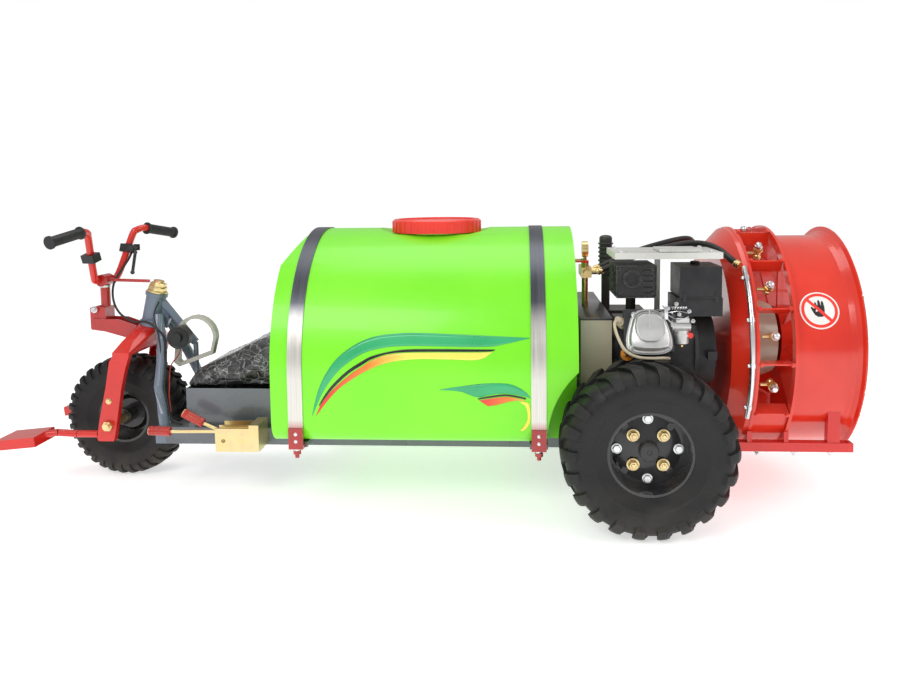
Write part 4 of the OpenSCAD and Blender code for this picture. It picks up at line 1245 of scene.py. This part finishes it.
# %% Brake cable from its lever to the rail
upper = [(-1598, 70, 720), (-1606, 55, 690), (-1622, 34, 655), (-1634, 8, 620), (-1632, -12, 585),
         (-1620, -26, 550), (-1598, -36, 522), (-1570, -42, 505), (-1544, -45, 496)]
lower = [(-1520, -45, 498), (-1498, -50, 494), (-1478, -62, 486), (-1461, -67, 474), (-1448, -68, 460),
         (-1440, -72, 440), (-1431, -91, 408), (-1422, -112, 375), (-1417, -130, 345), (-1412, -151, 312),
         (-1401, -159, 275), (-1390, -169, 235), (-1378, -172, 216), (-1352, -176, 207)]
cable_line = smooth_path([at(*p) for p in upper + lower], 6)
cable = tube("brake_cable", cable_line, 0.0035, 12)
cable.data.materials.append(hose_rubber)
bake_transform(cable)
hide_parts("brake_cable_upper", "brake_cable_lower")
print("brake cable length", round(path_length(cable_line), 3))

# %% Cable ties and the horn's lead
ties = [(upper, 3, "steering"), (lower, 6, "chassis"), (lower, 8, "chassis"), (lower, 10, "chassis")]
for i, (run, n, body) in enumerate(ties):
    along = at(*run[n + 1]) - at(*run[n - 1])
    tie = turned("cable_tie_%d" % i, at(*run[n]), along, [(-2, 3.4), (-2, 5), (2, 5), (2, 3.4)], 20)
    finish_piece(tie, black_plastic, body)
horn_run = [(-1394, -60, 420), (-1400, -64, 396), (-1412, -92, 372), (-1410, -112, 350), (-1404, -132, 318),
            (-1398, -150, 280), (-1390, -160, 240)]
lead = tube("horn_lead", smooth_path([at(*p) for p in horn_run], 6), 0.002, 8)
finish_piece(lead, dark_red, "chassis")
throttle_run = [(-1470, -34, 560), (-1484, -44, 520), (-1470, -60, 478), (-1450, -84, 430),
                (-1440, -106, 388), (-1436, -128, 350), (-1430, -148, 310), (-1420, -158, 262),
                (-1402, -166, 222)]
throttle = tube("throttle_lead", smooth_path([at(*p) for p in throttle_run], 6), 0.0022, 8)
finish_piece(throttle, hose_rubber, "chassis")
profile = [(-3, 34), (-3, 35.4), (1.2, 35.4), (2, 34), (1, 31), (-1, 27), (0.5, 20), (1, 12)]
horn_rim = turned("horn_rim", at(-1394, -78, 452), (0, -1, 0), profile)
finish_piece(horn_rim, black_plastic, "chassis")
print("leads done")

# %% Zinc nut stack on the steering head
rake = radians(13)
steer_axis = Vector((sin(rake), 0, cos(rake)))


def on_head(mm):
    return at(-1515, 0, 480) + steer_axis * mm / 1000


wide_washer = [(0, 17), (0, 31), (1, 32), (4, 32), (7.4, 29.6), (7.4, 17)]
thread = [(6 + k * 0.5, 16.5 if k % 2 else 15.9) for k in range(5)]
threaded_end = [(0, 16.3), (6, 16.3)] + thread + [(9.3, 14.5), (9.4, 0)]
stack = [
    turned("head_washer", on_head(108.4), steer_axis, wide_washer),
    hex_head("head_nut_low", on_head(115), steer_axis, 58, 12.4, washer=False),
    turned("head_washer_top", on_head(127), steer_axis, [(0, 16), (0, 28), (2.4, 28), (2.4, 16)]),
    hex_head("head_nut_top", on_head(129.2), steer_axis, 51.2, 11.4, washer=False),
    turned("head_stud", on_head(139), steer_axis, threaded_end),
]
head_nuts = finish_set(stack, "head_nut_stack", yellow_zinc, "steering")
print("nut stack", head_nuts.dimensions[:])

# %% Bolts of the bar bracket and the fork, and the collar on the stem
sides = (-1, 1)
bracket_bolts = [hex_head("bracket_bolt", at(-1682, s * 38, 535), (0, s, 0), 17, 7, stud=4) for s in sides]
finish_set(bracket_bolts, "bracket_bolts", bright_zinc, "steering")
fork_bolts = [hex_head("fork_bolt", at(-1590, s * 150, 268), (0, s, 0), 15, 5) for s in sides]
finish_set(fork_bolts, "fork_bolts", yellow_zinc, "steering")
stem_ring = turned("stem_collar", at(stem_x, 0, 606), (0, 0, 1), [(-3, 15), (-3, 17.5), (3, 17.5), (3, 15)])
finish_piece(stem_ring, bright_zinc, "steering")
print("front bolts done")

# %% Ribbed sleeves on the two hand levers
levers = [("gear_lever_body", at(-1352, -260, 210), Vector((-60, 0, 2))),
          ("clutch_lever_body", at(-1266, -226, 226), Vector((-56, 0, 30)))]
for k, (body, foot, reach) in enumerate(levers):
    n = reach.length
    profile = [(-4, 6), (-3, 12.8), (0, 13.6)]
    for i in range(8):
        profile += [(4 + i * 6, 13.6), (5 + i * 6, 13.05), (7 + i * 6, 13.05), (8 + i * 6, 13.6)]
    profile += [(n - 2, 13.6), (n + 1.5, 11), (n + 2, 0)]
    sleeve = turned("lever_grip_%d" % k, foot, reach.normalized(), profile, 32)
    finish_piece(sleeve, grip_red, body)
print("front end done")

# %% [markdown]
# ## Engine
#
# The small petrol engine leans towards the left side. Its rocker cover is a bright casting that
# narrows downwards, with a raised plain panel and four bolts. Round it sit the plug boot, the
# carburettor's linkages and the filler cap.

# %% Points in the frame of the leaning cylinder
cylinder_foot = (14, -190, 450)
cylinder_lean = radians(-25)


def cyl_at(x, y, z):
    sideways = y * cos(cylinder_lean) - z * sin(cylinder_lean)
    upwards = y * sin(cylinder_lean) + z * cos(cylinder_lean)
    return at(cylinder_foot[0] + x, cylinder_foot[1] + sideways, cylinder_foot[2] + upwards)


cyl_out = cyl_at(0, -1, 0) - cyl_at(0, 0, 0)


# Each round cuts every corner off, about a fifth of the way along both of its edges.
def rounded(points, times=2):
    for _ in range(times):
        cut_corners = []
        for p, r in zip(points, points[1:] + points[:1]):
            cut_corners.append((p[0] * 0.78 + r[0] * 0.22, p[1] * 0.78 + r[1] * 0.22))
            cut_corners.append((p[0] * 0.22 + r[0] * 0.78, p[1] * 0.22 + r[1] * 0.78))
        points = cut_corners
    return points


def lofted(name, outline, rows):
    verts = [cyl_at(x * s, y, z * s) for y, s in rows for x, z in outline]
    return piece(name, verts, ring_faces(len(rows), len(outline)), 35)


# %% Rocker cover with its raised panel
coffin = rounded([(-36, 57), (36, 57), (57, -14), (56, -46), (30, -58), (-30, -58), (-56, -46), (-57, -14)])
cover = lofted("rocker_cover_casting", coffin, [(-167.6, 1.04), (-172, 1.05), (-173.4, 1.03), (-174, 0.96),
                                                (-186, 0.93), (-190, 0.89), (-192, 0.82)])
panel_outline = rounded([(-32, 44), (32, 44), (42, -4), (24, -36), (-24, -36), (-42, -4)], 1)
panel_rows = [(-190, 1.0), (-197, 0.98), (-199.4, 0.93), (-199.6, 0.87), (-198.2, 0.84)]
panel = lofted("panel", panel_outline, panel_rows)
rib = lofted("rib", [(-1.6, 50), (1.6, 50), (1.6, 4), (-1.6, 4)], [(-191, 1), (-200.4, 1)])
sealing = lofted("gasket_rim", coffin, [(-166.6, 1.0), (-166.8, 1.08), (-168.4, 1.08), (-168.6, 1.0)])
cover = join(cover, [panel, rib, sealing])
finish_piece(cover, cast_alloy, "chassis")
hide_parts("rocker_cover")
cover_bolts = [hex_head("cover_bolt", cyl_at(x, -173.6, z), cyl_out, 13, 8, stud=3.2)
               for x, z in ((-37, 45), (37, 45), (-48, -45), (48, -45))]
finish_set(cover_bolts, "rocker_cover_bolts", bright_zinc, "chassis")
print("rocker cover", cover.dimensions[:])

# %% Plug boot and its lead
plug_foot = cyl_at(-62, -136, 26)
profile = [(0, 9), (0, 12), (8, 13), (10, 11), (18, 11), (20, 13), (26, 13), (28, 10.5), (38, 10), (44, 7),
           (45, 0)]
boot = turned("boot", plug_foot, cyl_at(-84, -176, 34) - plug_foot, profile, 28)
plug_run = [(-82, -172, 34), (-92, -186, 14), (-84, -190, -24), (-66, -184, -56), (-34, -178, -72),
            (4, -172, -74), (34, -160, -70), (56, -130, -64)]
plug_line = smooth_path([cyl_at(*p) for p in plug_run], 7)
lead = tube("plug_lead", plug_line, 0.0042, 14)
finish_set([boot, lead], "plug_boot", beige_rubber, "chassis")
print("plug lead", round(path_length(plug_line), 3), "m")

# %% Muffler: lip, port and wire guard
edge = [at(-71, -339, 613), at(-71, -339, 697), at(33, -339, 697), at(33, -339, 613), at(-71, -339, 613)]
lip = tube("muffler_lip", edge, 0.0028, 10)
profile = [(0, 17), (0, 26), (4, 25), (5, 23), (5, 18), (-8, 16)]
port = turned("port", at(-30, -337.5, 662), (0, -1, 0), profile, 40)
welds = [turned("weld", at(x, -337.5, z), (0, -1, 0), [(0, 5), (2, 5), (3, 3.4), (3, 0)], 16)
         for x in (-62, 24) for z in (622, 688)]
finish_piece(join(lip, [port] + welds), muffler_black, "chassis")
wires = []
for k in range(9):
    for way in (-1, 1):
        span = []
        for t in (0, 0.5, 1):
            y = -332 + k * 24 + way * 76 * t
            if -337 <= y <= -185:
                span.append((max(-336, min(-186, y)), 616 + 76 * t))
        if len(span) > 1:
            wires.append(tube("wire", [at(-75, y, z) for y, z in span], 0.0013, 6))
finish_set(wires, "muffler_wire_guard", black_steel, "chassis")
print("muffler wires done")

# %% Oil filler cap, a plate left blank, and the sump bolts
profile = [(0, 14.5), (1, 17.6), (9, 17.6), (11.5, 16), (12, 13), (11.4, 4), (11.4, 0)]
cap = turned("filler_cap", at(-38, -304, 452), (0, -1, 0), profile, 36)
bar = soft_box("cap_bar", (-52, -320, 449), (-24, -314, 455), 1.5)
finish_set([cap, bar], "oil_filler_cap", orange_plastic, "chassis")
plate = soft_box("blank_plate", (2, -287, 436), (72, -285.2, 466), 0.6)
finish_piece(plate, pale_sheet, "chassis")
sump_bolts = [hex_head("sump_bolt", at(x, -296, 316), (0, -1, 0), 15, 6) for x in (-40, 30, 100)]
finish_set(sump_bolts, "sump_bolts", yellow_zinc, "chassis")
print("cap, plate and sump bolts")

# %% Carburettor bowl, drain, linkages and springs
bowl = turned("bowl_lip", at(104, -316, 508), (0, 0, 1), [(-3, 20.5), (-3, 24), (3, 24), (3, 20.5)], 36)
bowl_foot = turned("bowl_foot", at(104, -316, 487), (0, 0, -1), [(-6, 21.6), (0, 21), (5, 14), (5, 0)], 32)
throat = turned("throat", at(78, -316, 532), (-1, 0, 0), [(-4, 15.4), (-2, 21), (4, 21), (5, 19), (5, 0)], 32)
finish_set([bowl, bowl_foot, throat], "carburettor_bowl", cast_alloy, "chassis")
drain = hex_head("bowl_drain", at(104, -316, 482.5), (0, 0, -1), 13, 8, washer=True)
finish_piece(drain, turned_brass, "chassis")
tap = turned("fuel_tap", at(126, -330, 508), (0, -1, 0), [(-14, 7), (0, 8), (2, 8), (4, 6), (4, 0)], 20)
finish_piece(tap, red_plastic, "chassis")
rods = []
for run, radius in (([(30, -330, 560), (60, -334, 566), (92, -336, 552), (120, -334, 560)], 0.0016),
                    ([(38, -322, 578), (66, -326, 570), (96, -332, 574), (128, -330, 566)], 0.0014),
                    ([(52, -330, 590), (60, -332, 574), (64, -334, 556), (74, -332, 544)], 0.0018)):
    rods.append(tube("rod", smooth_path([at(*p) for p in run], 5), radius, 8))
coil = [at(74 + k * 0.7, -336 + 4 * cos(k * 1.05), 584 + 4 * sin(k * 1.05)) for k in range(60)]
rods.append(tube("spring", coil, 0.0008, 6))
for x, z in ((44, 566), (66, 582), (96, 566), (122, 574), (132, 548), (88, 594)):
    rods.append(hex_head("screw", at(x, -333, z), (0, -1, 0), 9, 5, True, 2))
rods.append(soft_box("arm", (56, -336, 552), (66, -333.6, 588), 1))
finish_set(rods, "carburettor_linkage", bright_zinc, "chassis")
print("carburettor done")

# %% Black cover on the belt guard, ribs on the pump's air vessel, filter clips
lid_plate = soft_box("belt_guard_cover", (-163, -265, 538.2), (-71, 309, 543), 2)
finish_piece(lid_plate, black_steel, "chassis")
vessel = [turned("rib", at(-44, 180, 636 + k * 14), (0, 0, 1), [(-3, 20.8), (-2, 25), (2, 25), (3, 20.8)], 32)
          for k in range(7)]
vessel.append(turned("vessel_top", at(-44, 180, 736), (0, 0, 1),
                     [(0, 21.2), (6, 20), (10, 15), (12, 7), (12, 0)], 32))
finish_set(vessel, "air_vessel_ribs", engine_black, "chassis")
clips = [soft_box("clip", (x, -338.5, 600), (x + 9, -335.8, 626), 1) for x in (104, 188)]
clips.append(turned("knob", at(150, -262, 694), (0, 0, 1), [(0, 12), (3, 13), (8, 12), (9, 8), (9, 0)], 24))
clips.append(tube("filter_seam", [at(95, -336.6, 611), at(207, -336.6, 611)], 0.0018, 8))
finish_set(clips, "filter_clips", black_plastic, "chassis")
step = soft_box("top_plate_step", (40, -345, 733), (150, -230, 741), 3)
finish_piece(step, pale_sheet, "chassis")
plate_bolts = [hex_head("plate_bolt", at(x, y, 733), (0, 0, 1), 12, 5)
               for x, y in ((-60, -180), (180, -180), (180, -330), (-60, -335))]
finish_set(plate_bolts, "top_plate_bolts", bright_zinc, "chassis")
print("engine done")

# %% [markdown]
# ## Hoses and fan
#
# The two delivery hoses and the suction hose follow the same routes as the CAD tubes, but as smooth
# curves with crimped fittings. The fan gets silver caps on its nozzles, clamps on the spray pipe,
# bolts and a plain warning disc.

# %% Hoses with a brass collar at each end
delivery = [(-91.8, -40, 650), (-60, -44, 664), (0, -50, 690), (60, -56, 712), (120, -66, 728),
            (170, -84, 738), (210, -124, 738), (236, -176, 726), (256, -224, 704), (274, -248, 688)]
suction = [(-173.5, 225, 262), (-140, 225, 266), (-120, 225, 280), (-100, 225, 305), (-84, 225, 322),
           (-70, 225, 330), (-56.5, 225, 331)]
mirrored = [(x, -y, z) for x, y, z in delivery]
runs = [("delivery_hose_left", delivery, 0.009), ("delivery_hose_right", mirrored, 0.009),
        ("suction_hose", suction, 0.014)]
for name, points, radius in runs:
    line = smooth_path([at(*p) for p in points], 8)
    hose = tube(name, line, radius, 20)
    finish_piece(hose, hose_rubber, "chassis")
    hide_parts("hoses")
    collars = []
    crimps = [(-1, 0.4), (-1, 2), (3, 2.4), (5, 1.6), (7, 2.4), (11, 1.6), (13, 2.2), (16, 0.2)]
    profile = [(along, radius * 1000 + proud) for along, proud in crimps]
    for end, beside in ((line[0], line[3]), (line[-1], line[-4])):
        collars.append(turned("collar", end, beside - end, profile, 28))
    finish_set(collars, name + "_collars", turned_brass, "chassis")
    print(name, "length", round(path_length(line), 3), "m")

# %% Points on the fan, by angle from straight up towards the left side
fan_axis_height = 442


def fan_at(x, radius, angle):
    a = radians(angle)
    return at(x, -radius * sin(a), fan_axis_height + radius * cos(a))


def outward(angle):
    return Vector((0, -sin(radians(angle)), cos(radians(angle))))


# %% Silver caps and knurled rings on the nine nozzles
caps, rings = [], []
nozzle_x = 352
cap_profile = [(-6, 9.2), (-6, 11), (1, 11), (2, 9.6), (5, 9.2), (8, 7), (9.4, 3.6), (9.6, 0)]
ring_profile = [(-3, 9), (-3, 12.4), (-1, 13), (1, 13), (3, 12.4), (3, 9)]
elbow_profile = [(-4, 8), (-4, 10.4), (6, 10.4), (8, 8.2)]
for angle in (0, 28, 54, 79, 104, -28, -54, -79, -104):
    caps.append(turned("cap", fan_at(nozzle_x, 332, angle), outward(angle), cap_profile, 28))
    rings.append(turned("ring", fan_at(nozzle_x, 318, angle), outward(angle), ring_profile, 24))
    rings.append(turned("elbow", fan_at(nozzle_x, 296, angle), outward(angle), elbow_profile, 24))
print("nozzles", len(caps))
finish_set(caps, "nozzle_caps", bright_zinc, "chassis")
finish_set(rings, "nozzle_rings", turned_brass, "chassis")

# %% Clamps and domed nuts along the spray pipe
clamps, studs = [], []
clamp_profile = [(-6, 7.2), (-6, 9), (6, 9), (6, 7.2)]
stud_profile = [(0, 5.4), (4, 5.4), (7, 4), (8, 0)]
for angle in (-112, -92, -72, -52, 52, 72, 92, 112):
    tangent = Vector((0, -cos(radians(angle)), -sin(radians(angle))))
    clamps.append(turned("clamp", fan_at(286, 348, angle), tangent, clamp_profile, 24))
    studs.append(turned("stud", fan_at(280, 348, angle), (-1, 0, 0), stud_profile, 20))
finish_set(clamps, "pipe_clamps", bright_zinc, "chassis")
finish_set(studs, "pipe_studs", bright_zinc, "chassis")
print("pipe clamps done")

# %% Bolts on the vane tabs, the bell, the base rails and the tank straps
tabs, rivets = [], []
for angle in (15.5, 41, 66.5, 92, 117.5):
    for s in (-1, 1):
        for x in (312, 394):
            tabs.append(hex_head("tab_bolt", fan_at(x, 341.5, s * angle), outward(s * angle), 10, 4.5))
for angle in range(15, 360, 45):
    bell_head = [(8, 4.6), (10.4, 4.2), (11.6, 2.6), (11.9, 0)]
    rivets.append(turned("bell_rivet", fan_at(578, 334, angle), (1, 0, 0), bell_head, 16))
feet = [hex_head("foot_bolt", at(x, s * 258, 172), (0, 0, -1), 20, 9, True, 5)
        for x in (238, 330, 430, 528) for s in (-1, 1)]
straps = []
for x in (-940.5, -280):
    for s in (-1, 1):
        straps.append(hex_head("strap_nut", at(x, s * 379.5, 203.8), (0, 0, -1), 19, 8, True, 5))
        for z in (246, 226):
            strap_head = [(0, 6), (2, 5.6), (3.4, 3.4), (3.6, 0)]
            straps.append(turned("strap_rivet", at(x, s * 390, z), (0, s, 0), strap_head, 20))
finish_set(tabs, "tab_bolts", fan_red, "chassis")
finish_set(rivets, "bell_rivets", bright_zinc, "chassis")
finish_set(feet, "base_bolts", bright_zinc, "chassis")
finish_set(straps, "strap_fasteners", bright_zinc, "chassis")
print("bolts done")

# %% Plain warning disc: a red ring and bar on white, bent round the duct
duct_radius = 312.2
disc_x, disc_angle = 478, 66


def on_duct(u, v, lift):
    return fan_at(disc_x + u, duct_radius + lift, disc_angle - degrees(v / duct_radius))


def disc(name, inner, outer, lift, sides=72, bands=6):
    radii = [inner + (outer - inner) * b / bands for b in range(bands + 1)]
    verts = [on_duct(r * cos(2 * pi * k / sides), r * sin(2 * pi * k / sides), lift) for r in radii
             for k in range(sides)]
    return piece(name, verts, ring_faces(bands + 1, sides, cap=False), 60)


white_disc = disc("warning_disc", 0.2, 52, 0.5)
finish_piece(white_disc, white_plastic, "chassis")
ring = disc("warning_ring", 40, 48, 0.9, bands=3)
verts = [on_duct(-30 + 60 * i / 12 + 3 * s, 30 - 60 * i / 12 + 3 * s, 0.9) for i in range(13)
         for s in (-1, 1)]
slash = piece("slash", verts, [(2 * i, 2 * i + 1, 2 * i + 3, 2 * i + 2) for i in range(12)], 60)
finish_set([ring, slash], "warning_ring", red_plastic, "chassis")
palm = rounded([(-8, -14), (9, -14), (11, 4), (9, 20), (5, 20), (4, 8), (2, 22), (-2, 22), (-3, 8),
                (-6, 18), (-9, 17), (-9, 2), (-15, 8), (-18, 5)], 1)
verts = [on_duct(x * 1.3, y * 1.3, 0.75) for x, y in palm]
hand = piece("plain_hand", verts, [tuple(range(len(verts)))], 60)
finish_piece(hand, black_plastic, "chassis")
print("fan done")
